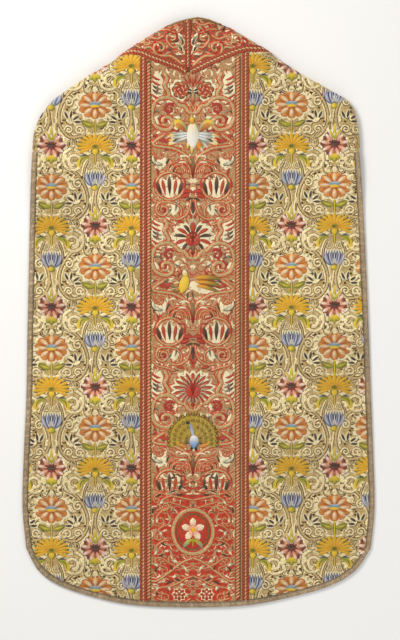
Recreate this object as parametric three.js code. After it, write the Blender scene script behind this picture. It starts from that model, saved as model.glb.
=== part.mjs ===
// An embroidered chasuble of the Roman cut, laid flat with its back up.
// Millimetres, +Z up, +Y towards the neck. The origin is on the surface that it lies on, below its middle.
import * as THREE from 'three';

// Driving dimensions
const CLOTH = 2.6; // satin, linen stiffening, couched metal thread and lining together
const SEAM_GAP = 0.3; // between pieces that are sewn edge to edge or lie on each other
const BRAID = 0.9; // thickness of the woven braids
const EDGE_BRAID_WIDTH = 11;
const COLUMN_BRAID_WIDTH = 13;
const YOKE_BRAID_WIDTH = 14;
const NECK_BRAID_WIDTH = 5;
const COLUMN_MIDDLE = -7.6; // the column lies a little left of the middle, as the garment was laid down
const COLUMN_SEAM = 97; // from the column's middle to the seam under each of its braids
const YOKE_MIDDLE = -20; // the seam at the middle of the back of the neck
const SHOULDER_ROLL = 11; // outer radius of the soft fold along the shoulders
const ROLL_AT_CORNER = 4.5; // and where the fold runs out at the armhole
const ROLL_STEPS = 9; // steps of the whole half turn
const NECK_CURL = 3; // of those steps, as many as the back of the neck curls through
const LOFT_REACH = 140; // how far from the fold the back comes down onto the front
const DROP_START = 6; // outside the front's edge, where the back begins to sink to the surface
const DROP_REACH = 52;
const NECK_DEPTH = 270; // the slit at the front of the neck
const NECK_CORNERS = { left: -52, right: 36 };
const YOKE_BRAID_GAP = 0.5; // it bridges the seam and the bend of the fold
const YOKE_SLANT = 50; // how far the yoke's seam runs along the fold while it goes round it
const FRONT_SEAM_AT_NECK = 0.35; // where the yoke's seam meets the slit, as a share of the slit
const FOLD_END_CLEARANCE = 1.5; // from the end of the shoulder fold to the end of the edge braid
const FRONT_BRAID_START = 14; // from the shoulder fold to the braid over the front's yoke seam
const FRONT_BRAID_END = 8; // and from that braid to the neck slit
const NECK_BINDING_TURNS = 6;
const SLIT_STOPS = [0.06, 0.35, 0.7, 0.96]; // where the neck binding is shaped along the slit

const FACE = BRAID + SEAM_GAP; // the front lies face down on its braids
const FRONT_TOP = FACE + CLOTH;
const BACK_ON_FRONT = FRONT_TOP + SEAM_GAP;
const EDGE_INSET = BRAID + SEAM_GAP; // a bound edge stops this far inside the outline
const HALF_GAP = SEAM_GAP / 2;

// Side edges of the back, from the round hem corners up to the shoulder corners
const SIDES = [
  { y: -447.5, left: -326.8, right: 326.8 },
  { y: -370, left: -334, right: 334 },
  { y: -268, left: -331.6, right: 331.6 },
  { y: -158, left: -326.8, right: 327.2 },
  { y: -45, left: -324.9, right: 323.4 },
  { y: 90, left: -322, right: 317.8 },
  { y: 222, left: -319.2, right: 311.2 },
  { y: 308.8, left: -315.4, right: 305 },
];
// Hem of the back, from the left corner to the right one
const HEM = [
  { x: -326.8, y: -447.5 },
  { x: -304, y: -489.3 },
  { x: -262.2, y: -518.7 },
  { x: -186.2, y: -543.4 },
  { x: -110.2, y: -556.7 },
  { x: 0, y: -560 },
  { x: 93, y: -555.8 },
  { x: 174.8, y: -540.5 },
  { x: 250.8, y: -518.7 },
  { x: 298.3, y: -489.3 },
  { x: 326.8, y: -447.5 },
];
// The shoulder fold and the back of the neck, from the left corner to the right one
const TOP = [
  { x: -315.4, y: 308.8 },
  { x: -307.8, y: 354.4 },
  { x: -281.2, y: 395.2 },
  { x: -224.2, y: 438 },
  { x: -167.2, y: 472.2 },
  { x: -110.2, y: 513 },
  { x: -62.7, y: 541 },
  { x: -36, y: 552.5 },
  { x: 4, y: 560 },
  { x: 28, y: 552 },
  { x: 60.8, y: 537.7 },
  { x: 117.8, y: 503.5 },
  { x: 174.8, y: 462.7 },
  { x: 231.8, y: 430.4 },
  { x: 286, y: 397 },
  { x: 301.5, y: 356.3 },
  { x: 305, y: 308.8 },
];
// The shallow V of the seam between the yoke and the column; its ends lie on the fold
const YOKE_SEAM = [
  { x: -117, y: 494.4 },
  { x: -104.5, y: 491.2 },
  { x: -89.3, y: 484.5 },
  { x: -60.8, y: 474 },
  { x: -34.2, y: 463.6 },
  { x: YOKE_MIDDLE, y: 456 },
  { x: 20.3, y: 474.5 },
  { x: 43.7, y: 484.5 },
  { x: 68.4, y: 494.5 },
  { x: 89.5, y: 500.4 },
  { x: 103.5, y: 501.2 },
];
// Half widths of the front, which is cut away for the arms and is shorter than the back
const FRONT = [
  { y: 250, half: 272 },
  { y: 170, half: 240 },
  { y: 60, half: 228 },
  { y: -80, half: 234 },
  { y: -230, half: 248 },
  { y: -370, half: 258 },
  { y: -428, half: 250 },
  { y: -466, half: 215 },
  { y: -488, half: 150 },
  { y: -498, half: 60 },
];

// How finely the pieces are divided. The rows are shares of the way up from the hem, closer
// together where the cloth sinks past the front's hem and where it rises to the shoulder.
const PLAIN_ROWS = [0, 0.018, 0.036, 0.055, 0.075, 0.1, 0.14, 0.2, 0.28, 0.36, 0.44, 0.52, 0.6, 0.68,
  0.75, 0.81, 0.85];
const RISE_START = 0.87;
const RISE_ROWS = 11;
const SIDE_COLUMNS = 11;
const HALF_COLUMN_COLUMNS = 8;
const YOKE_NECK_COLUMNS = 3;
const YOKE_FOLD_COLUMNS = HALF_COLUMN_COLUMNS + 1 - YOKE_NECK_COLUMNS;
const YOKE_ROWS = 6;
const YOKE_BRAID_STRANDS = 4; // across the braid, so that it follows the fold
const YOKE_BRAID_STEPS = 34;
const BRAID_END_TURN = 0.88; // of the half turn, where it ends beneath the fold
const BESIDE_SEAM = 9; // the first division of a side panel, just past the column's braid
const FRONT_EDGE_STEPS = 56;

const MATERIALS = {
  ivory: finish('#cdbb8c', 0.55, 0.1),
  red: finish('#b3674a', 0.55, 0.1),
  redBraid: finish('#a5452f', 0.6, 0.15),
  metalBraid: finish('#a3967a', 0.5, 0.35),
  neckBraid: finish('#a5743a', 0.5, 0.35),
};

function finish(color, roughness, metalness) {
  return new THREE.MeshStandardMaterial({ color, roughness, metalness });
}

const { smoothstep, clamp } = THREE.MathUtils;
const blend = (a, b, share) => a + (b - a) * share;
const steps = (count) => Array.from({ length: count + 1 }, (_, i) => i / count);
const point = (x, y) => new THREE.Vector2(x, y);
const lerp2 = (a, b, share) => new THREE.Vector2().lerpVectors(a, b, share);

const SIDE_ROWS = [...PLAIN_ROWS, ...steps(RISE_ROWS).map((s) => blend(RISE_START, 1, s))];

function spline(rows) {
  const curve = new THREE.SplineCurve(rows.map((row) => point(row.x, row.y)));
  curve.arcLengthDivisions = 600;
  return curve;
}

// y of a curve that never turns back in x, at a given x
function heightOf(curve) {
  const points = curve.getPoints(600);
  return (x) => {
    const i = Math.max(1, points.findIndex((p) => p.x >= x));
    const [a, b] = [points[i - 1], points[i]];
    return blend(a.y, b.y, (x - a.x) / (b.x - a.x));
  };
}

// Points of a line, each with the direction that leads away to its left, so long that an
// offset line stays parallel round a corner
function stations(points) {
  return points.map((p, i) => {
    const from = points[Math.max(0, i - 1)];
    const to = points[Math.min(points.length - 1, i + 1)];
    const into = (i ? p.clone().sub(from) : to.clone().sub(p)).normalize();
    const away = (to === p ? into.clone() : to.clone().sub(p)).normalize();
    const mitre = into.clone().add(away).normalize();
    return { p, left: point(-mitre.y, mitre.x).divideScalar(mitre.dot(into)) };
  });
}

const moved = (station, distance) => station.p.clone().addScaledVector(station.left, distance);

// The shoulder fold: a half tube whose outermost line is the curve TOP. A place along it is
// a share f of that curve, and an angle of 0 is the top of the roll.
const topCurve = spline(TOP);
const topLength = topCurve.getLength();

function foldAt(f) {
  const along = topCurve.getTangentAt(f);
  const out = point(-along.y, along.x);
  const radius = blend(ROLL_AT_CORNER, SHOULDER_ROLL, smoothstep(Math.min(f, 1 - f), 0, 0.22));
  return { out, radius, start: topCurve.getPointAt(f).addScaledVector(out, -radius) };
}

// Where along the fold it passes a given x
function foldShare(x) {
  let [low, high] = [0, 1];
  for (let i = 0; i < 40; i++) {
    const middle = (low + high) / 2;
    if (foldAt(middle).start.x < x) low = middle;
    else high = middle;
  }
  return low;
}

const FOLD_LINE = steps(240).map(foldAt);

// The nearest place on the line where the fold starts, and how far beyond it a point lies
function nearestFold(x, y) {
  let best = { distance: Infinity };
  for (let i = 1; i < FOLD_LINE.length; i++) {
    const [a, b] = [FOLD_LINE[i - 1], FOLD_LINE[i]];
    const run = b.start.clone().sub(a.start);
    const share = clamp(point(x, y).sub(a.start).dot(run) / run.lengthSq(), 0, 1);
    const foot = lerp2(a.start, b.start, share);
    const distance = Math.hypot(x - foot.x, y - foot.y);
    if (distance < best.distance) {
      const out = lerp2(a.out, b.out, share).normalize();
      const pastEnd = (i === 1 && share === 0) || (i === FOLD_LINE.length - 1 && share === 1);
      const beyond = pastEnd ? 0 : (x - foot.x) * out.x + (y - foot.y) * out.y;
      best = { distance, start: foot, out, beyond, radius: blend(a.radius, b.radius, share) };
    }
  }
  return best;
}

// A point of the fold, raised by h off the roll's outer side
function rolled(fold, angle, h) {
  const reach = fold.radius + h;
  const p = fold.start.clone().addScaledVector(fold.out, reach * Math.sin(angle));
  return new THREE.Vector3(p.x, p.y, FACE + fold.radius + reach * Math.cos(angle));
}

// The front's outline, from the left shoulder corner down, along its hem and up to the right one
const frontCurve = spline([
  foldAt(0).start,
  ...FRONT.map((row) => ({ x: COLUMN_MIDDLE - row.half, y: row.y })),
  ...FRONT.map((row) => ({ x: COLUMN_MIDDLE + row.half, y: row.y })).reverse(),
  foldAt(1).start,
]);
const FRONT_LINE = frontCurve.getSpacedPoints(FRONT_EDGE_STEPS);
const FRONT_RING = [...FRONT_LINE, ...FOLD_LINE.map((fold) => fold.start).reverse()];

function outsideFront(x, y) {
  let inside = false;
  let nearest = Infinity;
  FRONT_RING.forEach((b, i) => {
    const a = FRONT_RING[(i || FRONT_RING.length) - 1];
    if (a.y > y !== b.y > y && x < ((b.x - a.x) * (y - a.y)) / (b.y - a.y) + a.x) inside = !inside;
    const run = b.clone().sub(a);
    const from = point(x, y).sub(a);
    const share = run.lengthSq() ? clamp(from.dot(run) / run.lengthSq(), 0, 1) : 0;
    nearest = Math.min(nearest, from.sub(run.multiplyScalar(share)).length());
  });
  return inside ? 0 : nearest;
}

// Height of the back's lining: on the front, raised towards the shoulder fold, and down on
// the surface outside the front
function liningHeight(x, y) {
  const fold = nearestFold(x, y);
  const raised = FACE + 2 * fold.radius - CLOTH;
  const rise = 1 - smoothstep(fold.distance, 0, LOFT_REACH);
  const drop = smoothstep(outsideFront(x, y), DROP_START, DROP_START + DROP_REACH);
  return blend(BACK_ON_FRONT * (1 - drop), raised, rise);
}

// A place h above the back's right side, given where the cloth would be if it weren't folded
function onBack(x, y, h) {
  const fold = nearestFold(x, y);
  if (fold.beyond > 0) return rolled(fold, fold.beyond / fold.radius, h);
  return new THREE.Vector3(x, y, liningHeight(x, y) + CLOTH + h);
}

// A wall of cloth, given as patches of pairs of points, one on the lining and one on the right side
class Wall {
  constructor() {
    this.pairs = [];
    this.ids = new Map();
    this.faces = [];
  }

  id(pair) {
    const key = [...pair.lining, ...pair.right].map((value) => value.toFixed(3)).join();
    if (!this.ids.has(key)) this.ids.set(key, this.pairs.push(pair) - 1);
    return this.ids.get(key);
  }

  patch(rows) {
    const ids = rows.map((row) => row.map((pair) => this.id(pair)));
    for (let j = 1; j < ids.length; j++) {
      for (let i = 1; i < ids[j].length; i++) {
        const corners = [ids[j - 1][i - 1], ids[j - 1][i], ids[j][i], ids[j][i - 1]];
        const face = corners.filter((id, k) => corners.indexOf(id) === k);
        if (face.length > 2) this.faces.push(face);
      }
    }
  }

  geometry() {
    const count = this.pairs.length;
    const triangles = [];
    const edges = new Map();
    for (const face of this.faces) {
      for (let k = 2; k < face.length; k++) {
        const [a, b, c] = [face[0], face[k - 1], face[k]];
        triangles.push([a + count, b + count, c + count], [c, b, a]);
      }
      face.forEach((from, k) => {
        const to = face[(k + 1) % face.length];
        if (!edges.delete(`${to},${from}`)) edges.set(`${from},${to}`, [from, to]);
      });
    }
    for (const [from, to] of edges.values()) {
      triangles.push([from, to, to + count], [from, to + count, from + count]);
    }
    const points = [...this.pairs.map((pair) => pair.lining), ...this.pairs.map((pair) => pair.right)];
    return closedBody(points, triangles);
  }
}

// Rings of points joined one after another. Both ends are closed by the triangles of cap, which
// turn the way that the ring does.
function loft(rings, cap) {
  const size = rings[0].length;
  const triangles = [];
  for (let j = 1; j < rings.length; j++) {
    for (let i = 0; i < size; i++) {
      const [a, b] = [(j - 1) * size + i, (j - 1) * size + ((i + 1) % size)];
      triangles.push([a, b, b + size], [a, b + size, a + size]);
    }
  }
  const last = (rings.length - 1) * size;
  for (const [a, b, c] of cap) triangles.push([c, b, a], [a + last, b + last, c + last]);
  return closedBody(rings.flat(), triangles);
}

function closedBody(points, triangles) {
  let volume = 0;
  for (const [a, b, c] of triangles) {
    volume += points[a].dot(new THREE.Vector3().crossVectors(points[b], points[c]));
  }
  const outward = volume < 0 ? triangles.map(([a, b, c]) => [c, b, a]) : triangles;
  const geometry = new THREE.BufferGeometry().setFromPoints(points);
  geometry.setIndex(outward.flat());
  geometry.computeVertexNormals();
  return geometry;
}

// A flat piece of the front from its outline, counter-clockwise; each edge has its own gap to
// the piece beyond it, which is given with the point where the edge starts
function slab(edges) {
  const corners = edges.map(({ p, gap }, i) => {
    const before = edges[(i || edges.length) - 1];
    const into = p.clone().sub(before.p).normalize();
    const away = edges[(i + 1) % edges.length].p.clone().sub(p).normalize();
    const turn = into.cross(away);
    const inward = (direction, distance) => point(-direction.y, direction.x).multiplyScalar(distance);
    if (Math.abs(turn) < 0.02) return p.clone().add(inward(away, Math.max(gap, before.gap)));
    const shift = inward(away, gap).sub(inward(into, before.gap));
    return p.clone().add(inward(into, before.gap)).addScaledVector(into, shift.cross(away) / turn);
  });
  const geometry = new THREE.ExtrudeGeometry(new THREE.Shape(corners), {
    depth: CLOTH, bevelEnabled: false, steps: 1,
  });
  return geometry.translate(0, 0, FACE);
}

const group = new THREE.Group();

function add(name, geometry, material) {
  const mesh = new THREE.Mesh(geometry, material);
  mesh.name = name;
  group.add(mesh);
}

// Lines that several pieces share
const hemY = heightOf(spline(HEM));
const seamY = heightOf(spline(YOKE_SEAM));
const SEAMS = { left: COLUMN_MIDDLE - COLUMN_SEAM, right: COLUMN_MIDDLE + COLUMN_SEAM };
const SIGN = { left: -1, right: 1 };
const HEM_CORNER = { left: HEM[0].x, right: HEM[HEM.length - 1].x };
const YOKE_START = { left: YOKE_SEAM[0].x, right: YOKE_SEAM[YOKE_SEAM.length - 1].x };
const NECK_SHARE = { left: foldShare(NECK_CORNERS.left), right: foldShare(NECK_CORNERS.right) };
const MIDDLE_SHARE = foldShare(YOKE_MIDDLE);

// The yoke's seam on the fold, which slants outwards while the cloth goes round
function yokeShare(side, angle) {
  return foldShare(YOKE_START[side]) + (SIGN[side] * YOKE_SLANT * angle) / Math.PI / topLength;
}

const COLUMN_XS = [
  ...steps(HALF_COLUMN_COLUMNS).map((s) => blend(SEAMS.left, YOKE_MIDDLE, s)),
  ...steps(HALF_COLUMN_COLUMNS).slice(1).map((s) => blend(YOKE_MIDDLE, SEAMS.right, s)),
];
const sideXs = (side) => [SEAMS[side], ...steps(SIDE_COLUMNS - 1)
  .map((s) => blend(SEAMS[side] + SIGN[side] * BESIDE_SEAM, HEM_CORNER[side], s ** 0.9))];

// The bound edge of the back, from the left shoulder corner round to the right one
const sideCurves = {
  left: spline(SIDES.map((row) => ({ x: row.left, y: row.y }))),
  right: spline(SIDES.map((row) => ({ x: row.right, y: row.y }))),
};
const sidePoints = (side) => SIDE_ROWS.map((share) => {
  const curve = sideCurves[side];
  return curve.getPointAt(Math.min(share, 1 - FOLD_END_CLEARANCE / curve.getLength()));
});
const onHem = (xs) => xs.map((x) => point(x, hemY(x)));
const EDGE = stations([
  ...sidePoints('left').reverse(),
  ...onHem(sideXs('left').reverse()).slice(1),
  ...onHem(COLUMN_XS).slice(1),
  ...onHem(sideXs('right')).slice(1),
  ...sidePoints('right').slice(1),
]);
const CORNER = SIDE_ROWS.length - 1;
const EDGE_OF = {
  left: EDGE.slice(0, CORNER + 1).reverse(),
  hemLeft: EDGE.slice(CORNER, CORNER + SIDE_COLUMNS + 1).reverse(),
  hemMiddle: EDGE.slice(CORNER + SIDE_COLUMNS, -CORNER - SIDE_COLUMNS),
  hemRight: EDGE.slice(-CORNER - SIDE_COLUMNS - 1, -CORNER),
  right: EDGE.slice(-CORNER - 1),
};
const bound = (part) => EDGE_OF[part].map((station) => moved(station, EDGE_INSET));

const pairAt = (p) => {
  const z = liningHeight(p.x, p.y);
  return { lining: new THREE.Vector3(p.x, p.y, z), right: new THREE.Vector3(p.x, p.y, z + CLOTH) };
};
const pairOnFold = (f, angle) => {
  const fold = foldAt(f);
  return { lining: rolled(fold, angle, -CLOTH), right: rolled(fold, angle, 0) };
};

// A patch between four border lines: each inner point is blended from both pairs of borders
function between(bottom, top, start, end) {
  const [m, n] = [bottom.length - 1, start.length - 1];
  return start.map((_, j) => bottom.map((__, i) => {
    const [u, v] = [i / m, j / n];
    const corners = lerp2(lerp2(bottom[0], bottom[m], u), lerp2(top[0], top[m], u), v);
    return lerp2(bottom[i], top[i], v).add(lerp2(start[j], end[j], u)).sub(corners);
  }));
}

// Places along the fold of a side panel, from the yoke's seam to the shoulder corner
function sideShares(side, angle) {
  const from = yokeShare(side, angle) + (SIGN[side] * SEAM_GAP) / topLength;
  const corner = side === 'left' ? 0 : 1;
  return steps(SIDE_COLUMNS - 1).map((s) => blend(from, corner, s));
}

// Places along the fold of half the yoke, from its seam to the neck's corner
function yokeShares(side, angle) {
  const from = yokeShare(side, angle) - (SIGN[side] * SEAM_GAP) / topLength;
  return steps(YOKE_FOLD_COLUMNS).map((s) => blend(from, NECK_SHARE[side], s));
}

// A side panel runs up from the hem, round the shoulder fold and ends just below it
function backSide(side) {
  const seamX = SEAMS[side] + SIGN[side] * HALF_GAP;
  const bottom = bound(side === 'left' ? 'hemLeft' : 'hemRight');
  const top = [point(seamX, seamY(SEAMS[side]) - HALF_GAP),
    ...sideShares(side, 0).map((f) => foldAt(f).start)];
  const outer = bound(side);
  bottom[0].x = seamX;
  outer[CORNER] = top[SIDE_COLUMNS];
  const seam = SIDE_ROWS.map((v) => lerp2(bottom[0], top[0], v));
  const wall = new Wall();
  wall.patch(between(bottom, top, seam, outer).map((row) => row.map(pairAt)));
  wall.patch(steps(ROLL_STEPS).map((turn) => (
    turn ? sideShares(side, turn * Math.PI).map((f) => pairOnFold(f, turn * Math.PI))
      : top.slice(1).map(pairAt))));
  add(`back_side_${side}`, wall.geometry(), MATERIALS.ivory);
}

function backColumn() {
  const hem = bound('hemMiddle');
  const last = hem.length - 1;
  hem[0].x += HALF_GAP;
  hem[last].x -= HALF_GAP;
  const top = COLUMN_XS.map((x) => point(x, seamY(x) - HALF_GAP));
  top[0].x += HALF_GAP;
  top[last].x -= HALF_GAP;
  const wall = new Wall();
  wall.patch(SIDE_ROWS.map((v) => hem.map((p, i) => pairAt(lerp2(p, top[i], v)))));
  add('back_column', wall.geometry(), MATERIALS.red);
}

// Half of the yoke: beside the neck it goes all the way round the fold, and behind the neck it
// only curls over and ends
function backYoke(side) {
  const middleX = YOKE_MIDDLE + SIGN[side] * HALF_GAP;
  const middle = MIDDLE_SHARE + (SIGN[side] * HALF_GAP) / topLength;
  const neck = steps(YOKE_NECK_COLUMNS).slice(1).map((s) => blend(NECK_SHARE[side], middle, s));
  const shares = (angle) => [...yokeShares(side, angle), ...neck];
  const top = shares(0).map((f) => foldAt(f).start);
  top[top.length - 1].x = middleX;
  const xs = side === 'left' ? COLUMN_XS.slice(0, HALF_COLUMN_COLUMNS + 1)
    : COLUMN_XS.slice(HALF_COLUMN_COLUMNS).reverse();
  const seam = [top[0], ...xs.map((x) => point(x, seamY(x) + HALF_GAP))];
  seam[seam.length - 1].x = middleX;
  const wall = new Wall();
  const around = (turn, count) => (turn ? shares(turn * Math.PI).slice(0, count)
    .map((f) => pairOnFold(f, turn * Math.PI)) : top.map(pairAt));
  wall.patch(steps(YOKE_ROWS).map((v) => top.map((p, i) => pairAt(lerp2(seam[i], p, v)))));
  wall.patch(steps(ROLL_STEPS).slice(0, NECK_CURL + 1).map((turn) => around(turn, top.length)));
  wall.patch(steps(ROLL_STEPS).slice(NECK_CURL).map((turn) => around(turn, YOKE_FOLD_COLUMNS + 1)));
  add(`back_yoke_${side}`, wall.geometry(), MATERIALS.red);
}

// The section of a flat braid, as [share of its width, share of its thickness], and its end
const stripSection = (strands) => [
  ...steps(strands).map((s) => [s, 0]), ...steps(strands).reverse().map((s) => [s, 1]),
];
const stripCap = (strands) => steps(strands).slice(1).flatMap((_, i) => {
  const last = 2 * strands + 1;
  return [[i, i + 1, last - i - 1], [i, last - i - 1, last - i]];
});

// A braid on the back between two lines, each given by its points before folding
function stripOnBack(rows, strands, gap = SEAM_GAP) {
  const section = stripSection(strands);
  return loft(rows.map(([a, b]) => section.map(([across, up]) => {
    const p = lerp2(a, b, across);
    return onBack(p.x, p.y, gap + up * BRAID);
  })), stripCap(strands));
}

const alongLine = (points, width) => stations(points)
  .map((station) => [moved(station, -width / 2), moved(station, width / 2)]);

function columnBraid(side) {
  const edges = [SEAMS[side] - COLUMN_BRAID_WIDTH / 2, SEAMS[side] + COLUMN_BRAID_WIDTH / 2];
  const slope = (seamY(edges[1]) - seamY(edges[0])) / COLUMN_BRAID_WIDTH;
  const clearance = (YOKE_BRAID_WIDTH / 2) * Math.hypot(1, slope) + 2;
  const rows = SIDE_ROWS.map((v) => edges.map((x) => (
    point(x, blend(hemY(x) + EDGE_BRAID_WIDTH + 2, seamY(x) - clearance, v)))));
  add(`column_braid_${side}`, stripOnBack(rows, 1), MATERIALS.redBraid);
}

// The braid over the yoke's seam, from the middle of the back to the end of the shoulder fold

function yokeBraid(side) {
  const roll = steps(ROLL_STEPS).reverse().map((turn) => {
    const angle = turn * BRAID_END_TURN * Math.PI;
    const fold = foldAt(yokeShare(side, angle));
    return fold.start.clone().addScaledVector(fold.out, fold.radius * angle);
  });
  const xs = side === 'left' ? COLUMN_XS.slice(0, HALF_COLUMN_COLUMNS + 1)
    : COLUMN_XS.slice(HALF_COLUMN_COLUMNS).reverse();
  const line = spline([...roll, ...xs.map((x) => point(x, seamY(x)))]);
  const rows = alongLine(line.getSpacedPoints(YOKE_BRAID_STEPS), YOKE_BRAID_WIDTH);
  const direction = line.getTangentAt(1);
  rows[rows.length - 1].forEach((p) => {
    const cut = YOKE_MIDDLE + SIGN[side] * HALF_GAP - p.x;
    p.addScaledVector(direction, cut / direction.x);
  });
  add(`yoke_braid_${side}`, stripOnBack(rows, YOKE_BRAID_STRANDS, YOKE_BRAID_GAP), MATERIALS.redBraid);
}

function yokeMiddleBraid() {
  const fold = foldAt(MIDDLE_SHARE);
  const cut = (fold.radius * NECK_CURL * Math.PI) / ROLL_STEPS;
  const length = cut - NECK_BRAID_WIDTH - 2 * SEAM_GAP;
  const low = seamY(YOKE_MIDDLE) + YOKE_BRAID_WIDTH;
  const straight = steps(YOKE_ROWS).map((v) => point(YOKE_MIDDLE, blend(low, fold.start.y, v)));
  const over = steps(2).slice(1).map((v) => fold.start.clone().addScaledVector(fold.out, length * v));
  const rows = alongLine([...straight, ...over], COLUMN_BRAID_WIDTH);
  add('yoke_braid_middle', stripOnBack(rows, 2), MATERIALS.redBraid);
}

// A braid that covers a cut edge: a strip on the right side and a lip down the edge. Its section is
// [distance in from the outline, height above the right side], the right side being at 0.
const bindingSection = (width) => [
  [0, -CLOTH], [EDGE_INSET - SEAM_GAP, -CLOTH], [EDGE_INSET - SEAM_GAP, SEAM_GAP],
  [width, SEAM_GAP], [width, SEAM_GAP + BRAID], [0, SEAM_GAP + BRAID],
];
const BINDING_CAP = [[0, 1, 2], [0, 2, 5], [2, 3, 4], [2, 4, 5]];

function edgeBraid(name, places, width, material) {
  const section = bindingSection(width);
  const rings = places.map((place) => section.map(([d, h]) => place(d, h)));
  add(name, loft(rings, BINDING_CAP), material);
}

const backEdge = EDGE.map((station) => (d, h) => {
  const p = moved(station, d);
  const under = moved(station, Math.max(d, EDGE_INSET));
  return new THREE.Vector3(p.x, p.y, liningHeight(under.x, under.y) + CLOTH + h);
});

const frontPlace = (station) => (d, h) => {
  const p = moved(station, d);
  return new THREE.Vector3(p.x, p.y, FACE - h);
};

// The back of the neck: the braid follows the cloth's edge on the fold
const neckShares = [
  ...steps(YOKE_NECK_COLUMNS).map((s) => blend(NECK_SHARE.left, MIDDLE_SHARE, s)),
  ...steps(YOKE_NECK_COLUMNS).slice(1).map((s) => blend(MIDDLE_SHARE, NECK_SHARE.right, s)),
];
const neckBack = neckShares.map((f) => (d, h) => {
  const fold = foldAt(f);
  return rolled(fold, (NECK_CURL * Math.PI) / ROLL_STEPS + (EDGE_INSET - d) / fold.radius, h);
});

// The front's outlines, all seen from above. The yoke's seam runs from the fold to the neck slit.
const FOLD_END = (side) => foldAt(yokeShare(side, Math.PI)).start;
const SLIT_END = point(COLUMN_MIDDLE, Math.max(...TOP.map((row) => row.y)) - NECK_DEPTH);
const neckCorner = (side) => foldAt(NECK_SHARE[side] - (SIGN[side] * EDGE_INSET) / topLength).start;
const NECK_CORNER = { left: neckCorner('left'), right: neckCorner('right') };
const onSlit = (side, share) => lerp2(NECK_CORNER[side], SLIT_END, share);
const SEAM_AT_SLIT = {
  left: onSlit('left', FRONT_SEAM_AT_NECK), right: onSlit('right', FRONT_SEAM_AT_NECK),
};
const onFrontSeam = (side, x) => {
  const [a, b] = [FOLD_END(side), SEAM_AT_SLIT[side]];
  return point(x, blend(a.y, b.y, (x - a.x) / (b.x - a.x)));
};
const FRONT_CROSSING = Object.fromEntries(['left', 'right'].map((side) => {
  const line = side === 'left' ? FRONT_LINE : [...FRONT_LINE].reverse();
  const inward = -SIGN[side];
  const half = line.length / 2;
  const i = line.findIndex((p, k) => k > half / 2 && (p.x - SEAMS[side]) * inward > 0);
  const [a, b] = [line[i - 1], line[i]];
  return [side, { i, p: lerp2(a, b, (SEAMS[side] - a.x) / (b.x - a.x)) }];
}));

const edgesOf = (points, gap) => points.map((p) => ({ p, gap }));
// Outlines are listed for the left and turned round for the right, so both run counter-clockwise
function oriented(side, edges) {
  if (side === 'left') return edges;
  const turned = [...edges].reverse();
  return turned.map(({ p }, i) => ({ p, gap: turned[(i + 1) % turned.length].gap }));
}

function frontSide(side) {
  const fold = sideShares(side, Math.PI).slice(1, -1).map((f) => foldAt(f).start);
  const line = side === 'left' ? FRONT_LINE : [...FRONT_LINE].reverse();
  const { i, p } = FRONT_CROSSING[side];
  const edges = [
    ...edgesOf(line.slice(0, i), EDGE_INSET),
    ...edgesOf([p, onFrontSeam(side, SEAMS[side])], HALF_GAP),
    ...edgesOf([FOLD_END(side), ...fold], SEAM_GAP),
  ];
  add(`front_side_${side}`, slab(oriented(side, edges)), MATERIALS.ivory);
}

function frontColumn() {
  const { left, right } = FRONT_CROSSING;
  const hem = FRONT_LINE.slice(left.i, FRONT_LINE.length - right.i);
  add('front_column', slab([
    ...edgesOf([left.p, ...hem], EDGE_INSET),
    ...edgesOf([right.p, onFrontSeam('right', SEAMS.right)], HALF_GAP),
    ...edgesOf([SEAM_AT_SLIT.right, SLIT_END], EDGE_INSET),
    ...edgesOf([SEAM_AT_SLIT.left, onFrontSeam('left', SEAMS.left)], HALF_GAP),
  ]), MATERIALS.red);
}

function frontYoke(side) {
  const fold = yokeShares(side, Math.PI).slice(1).map((f) => foldAt(f).start);
  const edges = [
    { p: FOLD_END(side), gap: HALF_GAP },
    { p: SEAM_AT_SLIT[side], gap: EDGE_INSET },
    ...edgesOf(fold.reverse(), SEAM_GAP),
  ];
  add(`front_yoke_${side}`, slab(oriented(side, edges)), MATERIALS.red);
}

// A braid beneath the front
function stripOnFront(name, points, width) {
  const section = stripSection(1);
  add(name, loft(alongLine(points, width).map(([a, b]) => section.map(([across, up]) => {
    const p = lerp2(a, b, across);
    return new THREE.Vector3(p.x, p.y, up * BRAID);
  })), stripCap(1)), MATERIALS.redBraid);
}

const frontEnd = FOLD_END_CLEARANCE / frontCurve.getLength();
const frontEdge = stations(steps(FRONT_EDGE_STEPS)
  .map((s) => frontCurve.getPointAt(clamp(s, frontEnd, 1 - frontEnd)))).map(frontPlace);

function frontColumnBraid(side) {
  const x = SEAMS[side];
  const low = FRONT_CROSSING[side].p.y + EDGE_BRAID_WIDTH + 2;
  const high = onFrontSeam(side, x).y - YOKE_BRAID_WIDTH / 2 - 2;
  stripOnFront(`front_column_braid_${side}`, [point(x, low), point(x, high)], COLUMN_BRAID_WIDTH);
}

// The braid over the yoke's seam on the front, from the shoulder fold to the neck slit
function frontYokeBraid(side) {
  const [a, b] = [FOLD_END(side), SEAM_AT_SLIT[side]];
  const along = b.clone().sub(a).normalize();
  const from = a.clone().addScaledVector(along, FRONT_BRAID_START);
  const to = b.clone().addScaledVector(along, -FRONT_BRAID_END);
  stripOnFront(`front_yoke_braid_${side}`, [from, to], YOKE_BRAID_WIDTH);
}

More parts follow.
